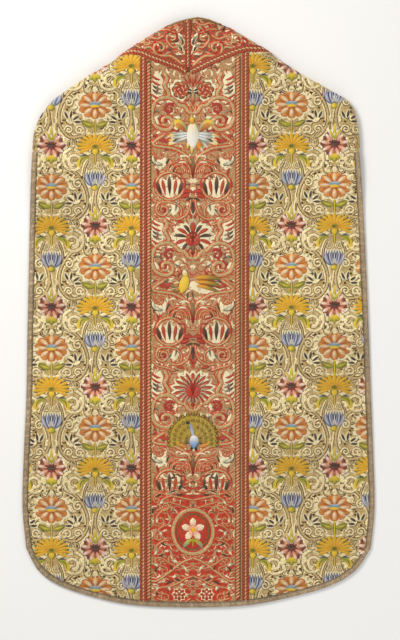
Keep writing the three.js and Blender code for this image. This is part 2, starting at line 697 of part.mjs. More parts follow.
// The binding of one side of the neck: from the back of the neck round the end of the shoulder
// fold, then down the slit
function neckBinding(side) {
  const inward = -SIGN[side];
  const curl = (NECK_CURL * Math.PI) / ROLL_STEPS;
  const onRoll = steps(NECK_BINDING_TURNS).map((turn) => (d, h) => {
    const angle = blend(curl + (EDGE_INSET + SEAM_GAP) / SHOULDER_ROLL, Math.PI, turn);
    const share = NECK_SHARE[side] + (inward * (EDGE_INSET - d)) / topLength;
    return rolled(foldAt(share), angle, h);
  });
  const slit = stations(SLIT_STOPS.map((share) => onSlit(side, share))).map((station) => (d, h) => {
    const p = moved(station, SIGN[side] * d);
    return new THREE.Vector3(p.x, p.y, FACE - h);
  });
  edgeBraid(`neck_binding_${side}`, [...onRoll, ...slit], NECK_BRAID_WIDTH, MATERIALS.neckBraid);
}


['left', 'right'].forEach((side) => {
  backSide(side);
  backYoke(side);
  columnBraid(side);
  yokeBraid(side);
  frontSide(side);
  frontYoke(side);
  frontColumnBraid(side);
  frontYokeBraid(side);
  neckBinding(side);
});
backColumn();
frontColumn();
yokeMiddleBraid();
edgeBraid('edge_braid_back', backEdge, EDGE_BRAID_WIDTH, MATERIALS.metalBraid);
edgeBraid('edge_braid_front', frontEdge, EDGE_BRAID_WIDTH, MATERIALS.metalBraid);
edgeBraid('neck_binding_back', neckBack, NECK_BRAID_WIDTH, MATERIALS.neckBraid);

export default group;
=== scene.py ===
# %% [markdown]
# # An embroidered chasuble, laid flat with its back up
#
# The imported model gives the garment's true form. This script dresses it: every panel becomes a
# smooth sheet of satin on its solid's form, and the embroidery, the braids and the galloon are
# laid on it as real relief. Patterns are drawn in millimetres on the flat pattern of the back,
# and one function carries any point of that pattern to its place on the folded cloth.

# %% Load the frame
import math
from collections import namedtuple

import bpy
import numpy as np
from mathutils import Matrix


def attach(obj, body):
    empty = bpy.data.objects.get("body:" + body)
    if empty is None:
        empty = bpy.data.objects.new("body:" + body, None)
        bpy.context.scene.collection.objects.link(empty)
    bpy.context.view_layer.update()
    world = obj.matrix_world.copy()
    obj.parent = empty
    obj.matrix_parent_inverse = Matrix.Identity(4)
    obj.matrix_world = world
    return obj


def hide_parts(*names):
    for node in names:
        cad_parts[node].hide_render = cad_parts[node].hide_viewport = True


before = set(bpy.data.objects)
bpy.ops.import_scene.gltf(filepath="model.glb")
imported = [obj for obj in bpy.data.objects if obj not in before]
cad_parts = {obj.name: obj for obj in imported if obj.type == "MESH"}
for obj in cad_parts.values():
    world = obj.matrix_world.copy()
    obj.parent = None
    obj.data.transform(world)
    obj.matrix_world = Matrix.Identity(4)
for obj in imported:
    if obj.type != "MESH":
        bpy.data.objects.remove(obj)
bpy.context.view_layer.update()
print("nodes:", len(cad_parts))

# %% [markdown]
# ## The garment's sizes
#
# The same driving sizes as the model, in millimetres. The back's outline is three smooth curves:
# its two sides, its hem, and the shoulder fold with the back of the neck between its slopes.

# %% Driving sizes, in millimetres
# The fold is looked for above FOLD_ZONE, and relief that goes under it is pressed flat.
MM = 0.001
CLOTH = 2.6
SEAM_GAP = 0.3
BRAID = 0.9
EDGE_BRAID_WIDTH = 11.0
COLUMN_BRAID_WIDTH = 13.0
YOKE_BRAID_WIDTH = 14.0
NECK_BRAID_WIDTH = 5.0
COLUMN_MIDDLE = -7.6
COLUMN_SEAM = 97.0
YOKE_MIDDLE = -20.0
SHOULDER_ROLL = 11.0
ROLL_AT_CORNER = 4.5
NECK_CURL = math.radians(60)
LOFT_REACH = 140.0
DROP_START = 6.0
DROP_REACH = 52.0
NECK_DEPTH = 270.0
NECK_CORNERS = {"left": -52.0, "right": 36.0}
YOKE_SLANT = 50.0
FRONT_SEAM_AT_NECK = 0.35
FACE = BRAID + SEAM_GAP
FRONT_TOP = FACE + CLOTH
BACK_ON_FRONT = FRONT_TOP + SEAM_GAP
EDGE_INSET = BRAID + SEAM_GAP
FOLD_ZONE = 285.0
PRESSED_RELIEF = 0.7
SIGN = {"left": -1, "right": 1}
SEAMS = {"left": COLUMN_MIDDLE - COLUMN_SEAM, "right": COLUMN_MIDDLE + COLUMN_SEAM}

# y, then x of the left and of the right side
SIDES = np.array([(-447.5, -326.8, 326.8), (-370, -334, 334), (-268, -331.6, 331.6),
                  (-158, -326.8, 327.2), (-45, -324.9, 323.4), (90, -322, 317.8),
                  (222, -319.2, 311.2), (308.8, -315.4, 305)])
HEM = [(-326.8, -447.5), (-304, -489.3), (-262.2, -518.7), (-186.2, -543.4), (-110.2, -556.7),
       (0, -560), (93, -555.8), (174.8, -540.5), (250.8, -518.7), (298.3, -489.3),
       (326.8, -447.5)]
TOP = [(-315.4, 308.8), (-307.8, 354.4), (-281.2, 395.2), (-224.2, 438), (-167.2, 472.2),
       (-110.2, 513), (-62.7, 541), (-36, 552.5), (4, 560), (28, 552), (60.8, 537.7),
       (117.8, 503.5), (174.8, 462.7), (231.8, 430.4), (286, 397), (301.5, 356.3), (305, 308.8)]
YOKE_SEAM = [(-117, 494.4), (-104.5, 491.2), (-89.3, 484.5), (-60.8, 474), (-34.2, 463.6),
             (YOKE_MIDDLE, 456), (20.3, 474.5), (43.7, 484.5), (68.4, 494.5), (89.5, 500.4),
             (103.5, 501.2)]
# y, then the front's half width there
FRONT = [(250, 272), (170, 240), (60, 228), (-80, 234), (-230, 248), (-370, 258), (-428, 250),
         (-466, 215), (-488, 150), (-498, 60)]
YOKE_START = {"left": YOKE_SEAM[0][0], "right": YOKE_SEAM[-1][0]}


# %% Smooth curves
def run_along(line):
    """The distance along a line from its start to each of its points."""
    return np.concatenate([[0], np.cumsum(np.hypot(*np.diff(line, axis=0).T))])


def evenly(line, count):
    """The line resampled at count + 1 places that are evenly spaced along it."""
    run = run_along(line)
    at = np.linspace(0, run[-1], count + 1)
    return np.stack([np.interp(at, run, line[:, k]) for k in range(line.shape[1])], 1)


def smooth(points, count):
    """A smooth curve through a few points, at count + 1 even places. Between two points it is
    the Catmull-Rom cubic, whose slope at each is half the step between its neighbours."""
    p = np.asarray(points, float)
    ends = np.concatenate([p[:1], p, p[-1:]])
    t = np.linspace(0, len(p) - 1, 40 * (len(p) - 1) + 1)
    i = np.minimum(t.astype(int), len(p) - 2)
    w = (t - i)[:, None]
    a, b, c, d = (ends[i + k] for k in range(4))
    fine = (b + w * (c - a) / 2 + w ** 2 * (a - 2.5 * b + 2 * c - d / 2)
            + w ** 3 * (1.5 * (b - c) + (d - a) / 2))
    return evenly(fine, count)


def smoothstep(x, low, high):
    """0 below low, 1 above high, and 3t^2 - 2t^3 between them."""
    t = np.clip((np.asarray(x, float) - low) / (high - low), 0, 1)
    return t * t * (3 - 2 * t)


def directions(line):
    """Unit vectors along a line, and those that lead away to its left."""
    along = np.gradient(line, axis=0)
    along /= np.hypot(*along.T)[:, None]
    return along, np.stack([-along[:, 1], along[:, 0]], 1)


HEM_LINE = smooth(HEM, 400)
SEAM_LINE = smooth(YOKE_SEAM, 200)
SIDE_LINES = {"left": smooth(SIDES[:, [1, 0]], 400), "right": smooth(SIDES[:, [2, 0]], 400)}


def hem_y(x):
    """Height of the hem's curve at a given x."""
    return np.interp(x, *HEM_LINE.T)


def seam_y(x):
    """Height of the yoke's seam at a given x."""
    return np.interp(x, *SEAM_LINE.T)


print("hem length, mm:", round(run_along(HEM_LINE)[-1]))

# %% [markdown]
# ## The folded form
#
# The shoulder is a half tube whose outermost line is the curve above. A point of the flat pattern
# that lies beyond the line where the fold starts is rolled round the tube: its distance beyond
# that line, divided by the tube's radius, is the angle that it has gone round. Everywhere else it
# keeps its place, and only its height is worked out: on the front, raised towards the fold, and
# down on the table outside the front's edge.

# %% The shoulder fold
TOP_FINE = smooth(TOP, 2400)
TOP_LENGTH = run_along(TOP_FINE)[-1]


def fold_at(share):
    """Start line, outward direction and radius of the fold at a share of its length."""
    at = np.clip(np.asarray(share, float), 0, 1) * (len(TOP_FINE) - 1)
    index = np.arange(len(TOP_FINE))
    _, left = directions(TOP_FINE)
    out = np.stack([np.interp(at, index, left[:, k]) for k in range(2)], -1)
    on_top = np.stack([np.interp(at, index, TOP_FINE[:, k]) for k in range(2)], -1)
    from_end = np.minimum(share, 1 - np.asarray(share))
    radius = ROLL_AT_CORNER + (SHOULDER_ROLL - ROLL_AT_CORNER) * smoothstep(from_end, 0, 0.22)
    return on_top - out * radius[..., None], out, radius


FOLD_SHARES = np.linspace(0, 1, 481)
FOLD_START, FOLD_OUT, FOLD_RADIUS = fold_at(FOLD_SHARES)


def fold_share(x):
    """Share of the fold's length where its start line passes a given x."""
    return float(np.interp(x, FOLD_START[:, 0], FOLD_SHARES))


def nearest_fold(x, y):
    """For each point: the nearest place on the fold's start line, the outward direction and
    radius there, the share, the distance beyond the line (0 past its ends) and the distance."""
    near = np.empty(len(x), int)
    for part in np.array_split(np.arange(len(x)), max(1, len(x) // 20000)):
        square = ((x[part, None] - FOLD_START[:, 0]) ** 2 + (y[part, None] - FOLD_START[:, 1]) ** 2)
        near[part] = square.argmin(1)
    along, _ = directions(FOLD_START)
    ahead = ((x - FOLD_START[near, 0]) * along[near, 0] + (y - FOLD_START[near, 1]) * along[near, 1])
    first = np.clip(np.where(ahead > 0, near, near - 1), 0, len(FOLD_START) - 2)
    a, b = FOLD_START[first], FOLD_START[first + 1]
    run = b - a
    raw = ((x - a[:, 0]) * run[:, 0] + (y - a[:, 1]) * run[:, 1]) / (run ** 2).sum(1)
    part = np.clip(raw, 0, 1)[:, None]
    foot = a + run * part
    out = FOLD_OUT[first] * (1 - part) + FOLD_OUT[first + 1] * part
    radius = FOLD_RADIUS[first] * (1 - part[:, 0]) + FOLD_RADIUS[first + 1] * part[:, 0]
    share = FOLD_SHARES[first] + (FOLD_SHARES[1] - FOLD_SHARES[0]) * part[:, 0]
    past_end = ((first == 0) & (raw <= 0)) | ((first == len(FOLD_START) - 2) & (raw >= 1))
    gap = np.stack([x, y], 1) - foot
    beyond = np.where(past_end, 0, (gap * out).sum(1))
    return foot, out, radius, share, beyond, np.hypot(*gap.T)


# %% The height of the lining
front_outline = np.concatenate([
    FOLD_START[:1], [(COLUMN_MIDDLE - half, y) for y, half in FRONT],
    [(COLUMN_MIDDLE + half, y) for y, half in FRONT[::-1]], FOLD_START[-1:]])
FRONT_LINE = smooth(front_outline, 224)


def outside_front(x, y):
    """Distance outside the front's outline, and 0 inside it. A point is inside if a line from
    it to the right crosses the outline an odd number of times."""
    ring = np.concatenate([FRONT_LINE, FOLD_START[::-8]])
    a, b = ring, np.roll(ring, -1, axis=0)
    nearest = np.full(len(x), np.inf)
    crossings = np.zeros(len(x), int)
    for (ax, ay), (bx, by) in zip(a, b):
        dx, dy = bx - ax, by - ay
        length2 = dx * dx + dy * dy
        if length2 == 0:
            continue
        part = np.clip(((x - ax) * dx + (y - ay) * dy) / length2, 0, 1)
        nearest = np.minimum(nearest, np.hypot(x - ax - part * dx, y - ay - part * dy))
        spans = (ay > y) != (by > y)
        crossings += spans & (x < dx * (y - ay) / (dy if dy else 1) + ax)
    return np.where(crossings % 2, 0, nearest)


def ripple(x, y):
    """The cloth's uneven, shallow waves: four crossing sines, always raised, never sunk."""
    waves = (np.sin(x / 61 + 1.7 * np.sin(y / 143)) + np.sin(y / 88 + 0.8 * np.sin(x / 97) + 1)
             + 0.7 * np.sin((x + 0.6 * y) / 43 + 2) + 0.5 * np.sin((y - 0.4 * x) / 29))
    return 0.28 * (waves + 3.2)


GRID_STEP = 6.0
GRID_X = np.arange(-360, 361, GRID_STEP)
GRID_Y = np.arange(-600, 661, GRID_STEP)
gx, gy = (a.ravel() for a in np.meshgrid(GRID_X, GRID_Y))
far = nearest_fold(gx, gy)
rise = 1 - smoothstep(far[5], 0, LOFT_REACH)
drop = smoothstep(outside_front(gx, gy), DROP_START, DROP_START + DROP_REACH)
lining = (BACK_ON_FRONT * (1 - drop) * (1 - rise)
          + (FACE + 2 * far[2] - CLOTH) * rise + ripple(gx, gy) * smoothstep(far[5], 10, 90))
HEIGHTS = lining.reshape(len(GRID_Y), len(GRID_X))
print("highest lining, mm:", round(lining.max(), 1))


def lining_height(x, y):
    """Height of the back's lining, read between the four nearest places of a grid."""
    i = np.clip((x - GRID_X[0]) / GRID_STEP, 0, len(GRID_X) - 1.001)
    j = np.clip((y - GRID_Y[0]) / GRID_STEP, 0, len(GRID_Y) - 1.001)
    a, b = i.astype(int), j.astype(int)
    u, v = i - a, j - b
    return ((HEIGHTS[b, a] * (1 - u) + HEIGHTS[b, a + 1] * u) * (1 - v)
            + (HEIGHTS[b + 1, a] * (1 - u) + HEIGHTS[b + 1, a + 1] * u) * v)


def rolled(start, out, radius, angle, h):
    """A point of the fold, h above its outer side, after going round by an angle."""
    reach = radius + h
    flat = start + out * (reach * np.sin(angle))[:, None]
    return np.column_stack([flat, FACE + radius + reach * np.cos(angle)])


def lay_on_back(points):
    """Points of the flat pattern (x, y, height above the right side) on the folded cloth."""
    x, y, h = points.T
    placed = np.column_stack([x, y, lining_height(x, y) + CLOTH + h])
    high = np.flatnonzero(y > FOLD_ZONE)
    if len(high):
        start, out, radius, _, beyond, _ = nearest_fold(x[high], y[high])
        over = beyond > 0
        angle = (beyond / radius)[over]
        under = smoothstep(angle, 1.6, 2.7)
        held = h[high][over]
        held = held * (1 - under) + np.minimum(held, PRESSED_RELIEF) * under
        placed[high[over]] = rolled(start[over], out[over], radius[over], angle, held)
    return placed * MM


# %% [markdown]
# ## From numbers to meshes
#
# Every piece is a set of points and four-sided faces worked out as whole arrays. `foreach_set`
# hands such an array to Blender in one go, which is hundreds of times faster than adding the
# points one by one. A UV map in metres lets weaves and stitches follow the cloth, and a colour
# attribute holds the dyed colour of each thread.

# %% Build one mesh object
def build(name, points, quads, uv, thread, material):
    """A smooth-shaded object at the origin from points in metres, faces of four corners, a UV
    for each point and a colour for each point."""
    mesh = bpy.data.meshes.new(name)
    mesh.vertices.add(len(points))
    mesh.vertices.foreach_set("co", points.astype(np.float32).ravel())
    mesh.loops.add(quads.size)
    mesh.loops.foreach_set("vertex_index", quads.astype(np.int32).ravel())
    mesh.polygons.add(len(quads))
    mesh.polygons.foreach_set("loop_start", np.arange(0, quads.size, 4, dtype=np.int32))
    mesh.polygons.foreach_set("use_smooth", np.ones(len(quads), bool))
    mesh.update(calc_edges=True)
    layer = mesh.uv_layers.new(name="flat")
    layer.data.foreach_set("uv", (uv[quads.ravel()] * MM).astype(np.float32).ravel())
    dyed = mesh.color_attributes.new("thread", "FLOAT_COLOR", "POINT")
    dyed.data.foreach_set("color", np.column_stack([thread, np.ones(len(thread))])
                          .astype(np.float32).ravel())
    mesh.materials.append(material)
    obj = bpy.data.objects.new(name, mesh)
    bpy.context.scene.collection.objects.link(obj)
    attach(obj, "root")
    print(f"{name}: {2 * len(quads)} triangles")
    return obj


def dye(code):
    """A colour written as #rrggbb, in the linear values that Blender's shaders use."""
    value = np.array([int(code[i:i + 2], 16) / 255 for i in (1, 3, 5)])
    return np.where(value <= 0.04045, value / 12.92, ((value + 0.055) / 1.055) ** 2.4)


IVORY = dye("#fff0c2")
TAN = dye("#d0b278")
PALE_GOLD = dye("#f8e2ac")
KHAKI = dye("#c6a86a")
COLUMN_GROUND = dye("#bd9060")
YOKE_GROUND = dye("#8f5a36")
COLUMN_TAN = dye("#c8a873")
PEACOCK_GOLD = dye("#c8a62e")
COLUMN_RED = dye("#c8441f")
OLD_GOLD = dye("#8f7444")
BROWN = dye("#6a4a30")
SEPIA = dye("#4e3520")
DARK = dye("#38281c")
ORANGE = dye("#e2923c")
BURNT = dye("#bd641c")
PEACH = dye("#f6c890")
CREAM = dye("#ffeec4")
YELLOW = dye("#fbce32")
GOLDEN = dye("#f0a71e")
LIME = dye("#b4b02c")
OLIVE = dye("#7d7a26")
LAVENDER = dye("#a3a5b8")
PALE_BLUE = dye("#cfd6e6")
NAVY = dye("#232647")
TEAL = dye("#86a9b0")
PINK = dye("#f2a488")
MAROON = dye("#84362a")
RED = dye("#bf3524")
DEEP_RED = dye("#96281c")
SAGE = dye("#a3a080")
SKY = dye("#7fa6d4")
WHITE = dye("#fffaf0")

# %% [markdown]
# ## The stitches
#
# Silk flowers are built up from small padded shapes, each covered by threads laid side by side.
# A `pads` call makes any number of them at once. A darker, wider and lower pad under a pad shows
# as its outline, as it does in real work, where the outline is a row of dark floss. The scrolls
# are bands of gold thread laid in rows and held down by tiny stitches: a band is a low rounded
# section carried along a path, again with a wider dark one beneath it.

# %% Stitching and how it is joined, mirrored, repeated and trimmed
Stitching = namedtuple("Stitching", "points quads uv thread")
FADE = 2.0


def join(parts):
    """Several stitchings as one; the faces of each count on from the points before it."""
    starts = np.cumsum([0] + [len(part.points) for part in parts[:-1]])
    return Stitching(np.concatenate([part.points for part in parts]),
                     np.concatenate([part.quads + s for part, s in zip(parts, starts)]),
                     np.concatenate([part.uv for part in parts]),
                     np.concatenate([part.thread for part in parts]))


def shaped(work, x=0.0, y=0.0, wide=1.0, tall=1.0):
    """The stitching stretched and then moved. A negative width mirrors it, and its faces are
    then listed the other way round."""
    quads = work.quads[:, ::-1] if wide * tall < 0 else work.quads
    return Stitching(work.points * (wide, tall, 1) + (x, y, 0), quads, work.uv, work.thread)


def both(work):
    """The stitching and its mirror image in the line x = 0."""
    return join([work, shaped(work, wide=-1)])


def repeated(work, places):
    """Copies of the stitching at rows of (x, y), as one array; each copy's dye differs a
    little in strength, as hand work does."""
    places = np.asarray(places, float)
    count, size = len(places), len(work.points)
    chance = np.random.default_rng(11)
    points = np.tile(work.points, (count, 1))
    points[:, :2] += np.repeat(places, size, axis=0)
    quads = np.tile(work.quads, (count, 1)) + np.repeat(np.arange(count) * size,
                                                        len(work.quads))[:, None]
    strength = np.repeat(chance.uniform(0.88, 1.08, count), size)[:, None]
    return Stitching(points, quads, np.tile(work.uv, (count, 1)),
                     np.clip(np.tile(work.thread, (count, 1)) * strength, 0, 1))


def clipped(work, margin):
    """The faces whose middle has a positive margin to the region's border, their height
    fading to a thin film within FADE of it."""
    middle = work.points[work.quads].mean(1)
    keep = margin(middle[:, 0], middle[:, 1]) > 0
    used, ids = np.unique(work.quads[keep], return_inverse=True)
    points = work.points[used].copy()
    points[:, 2] *= 0.25 + 0.75 * smoothstep(margin(points[:, 0], points[:, 1]), 0, FADE)
    return Stitching(points, ids.reshape(-1, 4), work.uv[used], work.thread[used])


# %% Padded satin stitch
PAD_STEPS = 6
PAD_ACROSS = np.array([-1, -0.75, 0, 0.75, 1])
PAD_RISE = np.array([0, 0.78, 1, 0.78, 0])
SUNK = 0.2
UNDER_PAD = 0.95 / 1.7


def pads(x, y, angle, length, width, height, thread, tip=None, full=1.0, blunt=0.6, bend=0.0,
         coarse=False):
    """Padded shapes that start at (x, y) and run in the direction of angle, in degrees. With u
    from 0 to 1 along one, its half width is width / 2 times sin(pi u^full)^blunt: a full above
    1 puts the widest place nearer the tip, and a small blunt makes round ends. Its middle line
    turns by bend on its way. The colour goes from thread at the start to tip at the end. Small
    low pads are coarse: they have fewer faces."""
    steps = 5 if coarse else PAD_STEPS
    across, rise = (PAD_ACROSS[::2], PAD_RISE[::2]) if coarse else (PAD_ACROSS, PAD_RISE)
    facts = np.broadcast_arrays(*[np.atleast_1d(np.asarray(a, float)) for a in
                                  (x, y, angle, length, width, height, full, blunt, bend)])
    x, y, angle, length, width, height, full, blunt, bend = (a[:, None] for a in facts)
    u = np.linspace(0, 1, steps)[None, :]
    heading = np.radians(angle + bend * (u - 0.5))
    step = length / (steps - 1)
    mid = (heading[:, 1:] + heading[:, :-1]) / 2
    nothing = np.zeros((len(x), 1))
    cx = x + np.concatenate([nothing, np.cumsum(np.cos(mid) * step, 1)], 1)
    cy = y + np.concatenate([nothing, np.cumsum(np.sin(mid) * step, 1)], 1)
    swell = np.sin(np.pi * np.clip(u ** full, 0.012, 0.988))
    half = width / 2 * swell ** blunt
    v = across[None, None, :]
    px = cx[..., None] - np.sin(heading)[..., None] * half[..., None] * v
    py = cy[..., None] + np.cos(heading)[..., None] * half[..., None] * v
    ph = (height * swell ** 0.3)[..., None] * rise - SUNK * (rise == 0)
    points = np.stack([px, py, ph], -1).reshape(-1, 3)
    uv = np.stack(np.broadcast_arrays((u * length)[..., None], half[..., None] * v), -1)
    start = np.atleast_2d(thread)
    end = start if tip is None else np.atleast_2d(tip)
    fade = smoothstep(u, 0.15, 0.9)[0][None, :, None]
    dyed = start[:, None, :] * (1 - fade) + end[:, None, :] * fade
    dyed = np.broadcast_to(dyed, (len(x), steps, 3))[:, :, None, :]
    dyed = np.broadcast_to(dyed, (len(x), steps, len(across), 3)).reshape(-1, 3)
    return Stitching(points, grid_quads(len(x), steps, len(across)),
                     uv.reshape(-1, 2), dyed)


def grid_quads(count, rows, columns):
    """Faces of count separate grids whose points are listed row by row."""
    i, j = np.meshgrid(np.arange(rows - 1), np.arange(columns - 1), indexing="ij")
    corner = (i * columns + j).ravel()
    one = np.stack([corner, corner + columns, corner + columns + 1, corner + 1], 1)
    return (one[None] + (np.arange(count) * rows * columns)[:, None, None]).reshape(-1, 4)


def around(angles, radius, x=0.0, y=0.0):
    """The x and the y of places on a ring round (x, y), at angles in degrees."""
    return x + radius * np.cos(np.radians(angles)), y + radius * np.sin(np.radians(angles))


def outlined(edge, x, y, angle, length, width, thread, tip=None, margin=1.0, height=1.9, **facts):
    """Pads with an outline: each has a wider, lower pad of the edge colour beneath it."""
    x, y, angle, length, width, height = (np.asarray(a, float) for a in
                                          (x, y, angle, length, width, height))
    back = margin * 0.8
    low = pads(*around(angle, -back, x, y), angle, length + 2 * back, width + 2 * margin,
               height * UNDER_PAD, edge, **facts)
    return join([low, pads(x, y, angle, length, width, height, thread, tip, **facts)])


print("faces of one pad:", len(pads(0, 0, 0, 10, 4, 1, IVORY).quads))


# %% Bands, curls and cords
BAND_ACROSS = np.array([-1, -0.72, 0, 0.72, 1])
BAND_RISE = np.array([0, 0.85, 1, 0.85, 0])


def path(points, step=3.4):
    """A smooth line through a few given points, with a place about every step."""
    rough = run_along(np.asarray(points, float))[-1]
    return smooth(points, max(4, int(round(rough / step))))


def curl(line, radius, turns, side, tightest=0.22, step=3.0):
    """The line carried on into a spiral: its direction turns to side (1 is left) while the
    radius falls evenly to a tightest share of itself."""
    total = turns * 2 * math.pi
    count = max(8, int(total * radius * 0.6 / step))
    turned = np.linspace(0, total, count + 1)
    r = radius * (1 - (1 - tightest) * turned / total)
    (dx, dy), last = line[-1] - line[-2], line[-1]
    heading = math.atan2(dy, dx) + side * (turned[1:] + turned[:-1]) / 2
    run = (r[1:] + r[:-1]) / 2 * np.diff(turned)
    spiral = last + np.cumsum(np.stack([np.cos(heading) * run, np.sin(heading) * run], 1), 0)
    return np.concatenate([line, spiral])


def spiral(x, y, radius, turns, start=0.0, side=1, step=2.5):
    """A spiral round (x, y) that starts at a direction in degrees and winds inwards."""
    count = max(10, int(turns * math.pi * radius / step))
    t = np.linspace(0, 1, count + 1)
    r = radius * (1 - 0.85 * t)
    a = math.radians(start) + side * turns * 2 * math.pi * t
    return np.stack([x + r * np.cos(a), y + r * np.sin(a)], 1)


def oval(x, y, wide, tall, step=3.0):
    """A closed oval, whose last point is its first."""
    a = np.linspace(0, 2 * math.pi, max(12, int(math.pi * (wide + tall) / 2 / step)) + 1)
    return np.stack([x + wide / 2 * np.cos(a), y + tall / 2 * np.sin(a)], 1)


def carried(line, run, across, heights, thread):
    """A section carried along a line: its points lie across from each place, to the left, at
    their heights. The UV of a point is its run along the line and its distance across it."""
    shape = (len(line), np.shape(across)[-1])
    across, heights = np.broadcast_to(across, shape), np.broadcast_to(heights, shape)
    xy = line[:, None, :] + directions(line)[1][:, None, :] * across[..., None]
    points = np.concatenate([xy, heights[..., None]], -1).reshape(-1, 3)
    uv = np.stack(np.broadcast_arrays(run[:, None], across), -1).reshape(-1, 2)
    dyed = np.broadcast_to(thread, (*shape, 3)).reshape(-1, 3)
    return Stitching(points, grid_quads(1, *shape), uv, dyed)


def band(line, width, height, thread, taper=0.0):
    """A low rounded band along a line. Its ends are round, unless it is a ring, and taper
    narrows it towards its end."""
    run = run_along(line)
    end = np.ones(len(run))
    if np.hypot(*(line[0] - line[-1])) > 0.01:
        near = np.clip(np.minimum(run, run[-1] - run) / (width / 2) + 0.02, 0, 1)
        end = np.sqrt(1 - (1 - near) ** 2)
    half = width / 2 * (1 - taper * (run / run[-1]))
    heights = (height * (0.4 + 0.6 * end))[:, None] * BAND_RISE - SUNK * (BAND_RISE == 0)
    return carried(line, run, (half * end)[:, None] * BAND_ACROSS, heights, thread)


def couched(line, width, thread, edge, height, rim):
    """A band of couched thread between two outlines, which are one wider band beneath it."""
    return join([band(line, width, height * 0.62, edge), band(line, width - 2 * rim, height, thread)])


CORD_ACROSS = np.array([-1, -0.66, -0.25, 0.25, 0.66, 1])
CORD_STEPS = 5


def cord(line, width, lift, height, thread, groove, pitch=5.0, slant=2.0, side=1):
    """A twisted cord along a line. Its strands show as slanting ridges: with s along it and v
    across it, the ridge is at its highest where 2 pi s / pitch + slant v is a whole turn."""
    length = run_along(line)[-1]
    line = evenly(line, int(length / (pitch / CORD_STEPS)))
    s = np.linspace(0, length, len(line))
    v = CORD_ACROSS
    ridge = 0.5 + 0.5 * np.cos(2 * math.pi * s[:, None] / pitch + side * slant * v)
    dome = np.sqrt(1 - 0.97 * v ** 2)
    heights = lift + height * dome * (0.72 + 0.28 * ridge) - 0.3 * (np.abs(v) == 1)
    # Between the strands the colour turns to the groove colour: on the red cords a darker red, painted
    # shade in the hollows of the twist; on the gold cord a dark red.
    mix = smoothstep(ridge, 0.25, 0.65)[..., None]
    return carried(line, s, width / 2 * v, heights, groove * (1 - mix) + thread * mix)


print("a twisted cord has", CORD_STEPS, "steps to each strand")

# %% [markdown]
# ## Finishes
#
# Four effects are shared, so each is a node group: threads lying side by side, couched metal
# thread with its rows of tiny stitches, the weave of a ribbon, and the uneven ageing of old
# cloth. A group puts out a height for the bump and a value that shades the colour. In the first
# three, that value follows the relief, so the colour is darker where threads lie low, as painted
# shade; couched thread also gets painted glints, and the ribbon random specks. They read the
# UV map, which is in metres, so a thread has the same width everywhere.

# %% Helpers for nodes and groups
def group(name, inputs):
    """A shader node group with the given inputs and a Height and a Shade output."""
    tree = bpy.data.node_groups.new(name, "ShaderNodeTree")
    tree.interface.new_socket("Vector", in_out="INPUT", socket_type="NodeSocketVector")
    for label, value in inputs:
        socket = tree.interface.new_socket(label, in_out="INPUT", socket_type="NodeSocketFloat")
        socket.default_value = value
    for label in ("Height", "Shade"):
        tree.interface.new_socket(label, in_out="OUTPUT", socket_type="NodeSocketFloat")
    print("effect:", name)
    return tree, tree.nodes.new("NodeGroupInput").outputs, tree.nodes.new("NodeGroupOutput").inputs


def node(tree, kind, values=None, **settings):
    """A node of a kind with its settings, its sockets filled from values or linked to outputs."""
    made = tree.nodes.new(kind)
    for key, value in settings.items():
        setattr(made, key, value)
    for key, value in (values or {}).items():
        if isinstance(value, bpy.types.NodeSocket):
            tree.links.new(value, made.inputs[key])
        else:
            made.inputs[key].default_value = value
    return made


def math_node(tree, operation, a, b=0.0):
    """The output of a Math node."""
    return node(tree, "ShaderNodeMath", {0: a, 1: b}, operation=operation).outputs[0]


def ranged(tree, value, low, high, to_low=0.0, to_high=1.0):
    """The value, with the range from low to high stretched to the one from to_low to to_high."""
    return node(tree, "ShaderNodeMapRange", {"Value": value, "From Min": low, "From Max": high,
                                             "To Min": to_low, "To Max": to_high}).outputs[0]


# %% Threads side by side
tree, given, result = group("threads_side_by_side", [("Scale", 420.0), ("Uneven", 1.2)])
wave = node(tree, "ShaderNodeTexWave", {"Vector": given["Vector"],
                                        "Scale": given["Scale"],
                                        "Distortion": given["Uneven"], "Detail": 2.0,
                                        "Detail Scale": 0.4}, bands_direction="Y")
long_way = node(tree, "ShaderNodeMapping", {"Vector": given["Vector"],
                                            "Scale": (60.0, 900.0, 1.0)})
streak = node(tree, "ShaderNodeTexNoise", {"Vector": long_way.outputs[0], "Scale": 1.0,
                                           "Detail": 3.0})
both_ways = math_node(tree, "ADD", math_node(tree, "MULTIPLY", wave.outputs["Fac"], 0.6),
                      math_node(tree, "MULTIPLY", streak.outputs["Fac"], 0.4))
# The shade is the height itself, so the colour darkens where the threads lie low: painted shade.
tree.links.new(both_ways, result["Height"])
tree.links.new(both_ways, result["Shade"])
THREADS = tree

# %% Couched metal thread
tree, given, result = group("couched_metal", [("Scale", 1.0)])
brick = node(tree, "ShaderNodeTexBrick", {"Vector": given["Vector"],
                                          "Scale": given["Scale"],
                                          "Mortar Size": 0.00026, "Mortar Smooth": 0.7,
                                          "Brick Width": 0.0034, "Row Height": 0.0015})
glint = node(tree, "ShaderNodeTexNoise", {"Vector": given["Vector"], "Scale": 260.0,
                                          "Detail": 3.0, "Roughness": 0.75})
spark = ranged(tree, glint.outputs["Fac"], 0.34, 0.66)
raised = math_node(tree, "SUBTRACT", 1.0, brick.outputs["Fac"])
uneven = math_node(tree, "MULTIPLY", spark, 0.6)
tree.links.new(math_node(tree, "ADD", raised, uneven), result["Height"])
# Painted shade and light: the colour darkens in the grooves between the stitches, and the glint noise
# brightens it in painted glints.
groove_shade = math_node(tree, "MULTIPLY", raised, 0.35)
shade = math_node(tree, "MULTIPLY", spark, 0.65)
tree.links.new(math_node(tree, "ADD", groove_shade, shade), result["Shade"])
COUCHED = tree

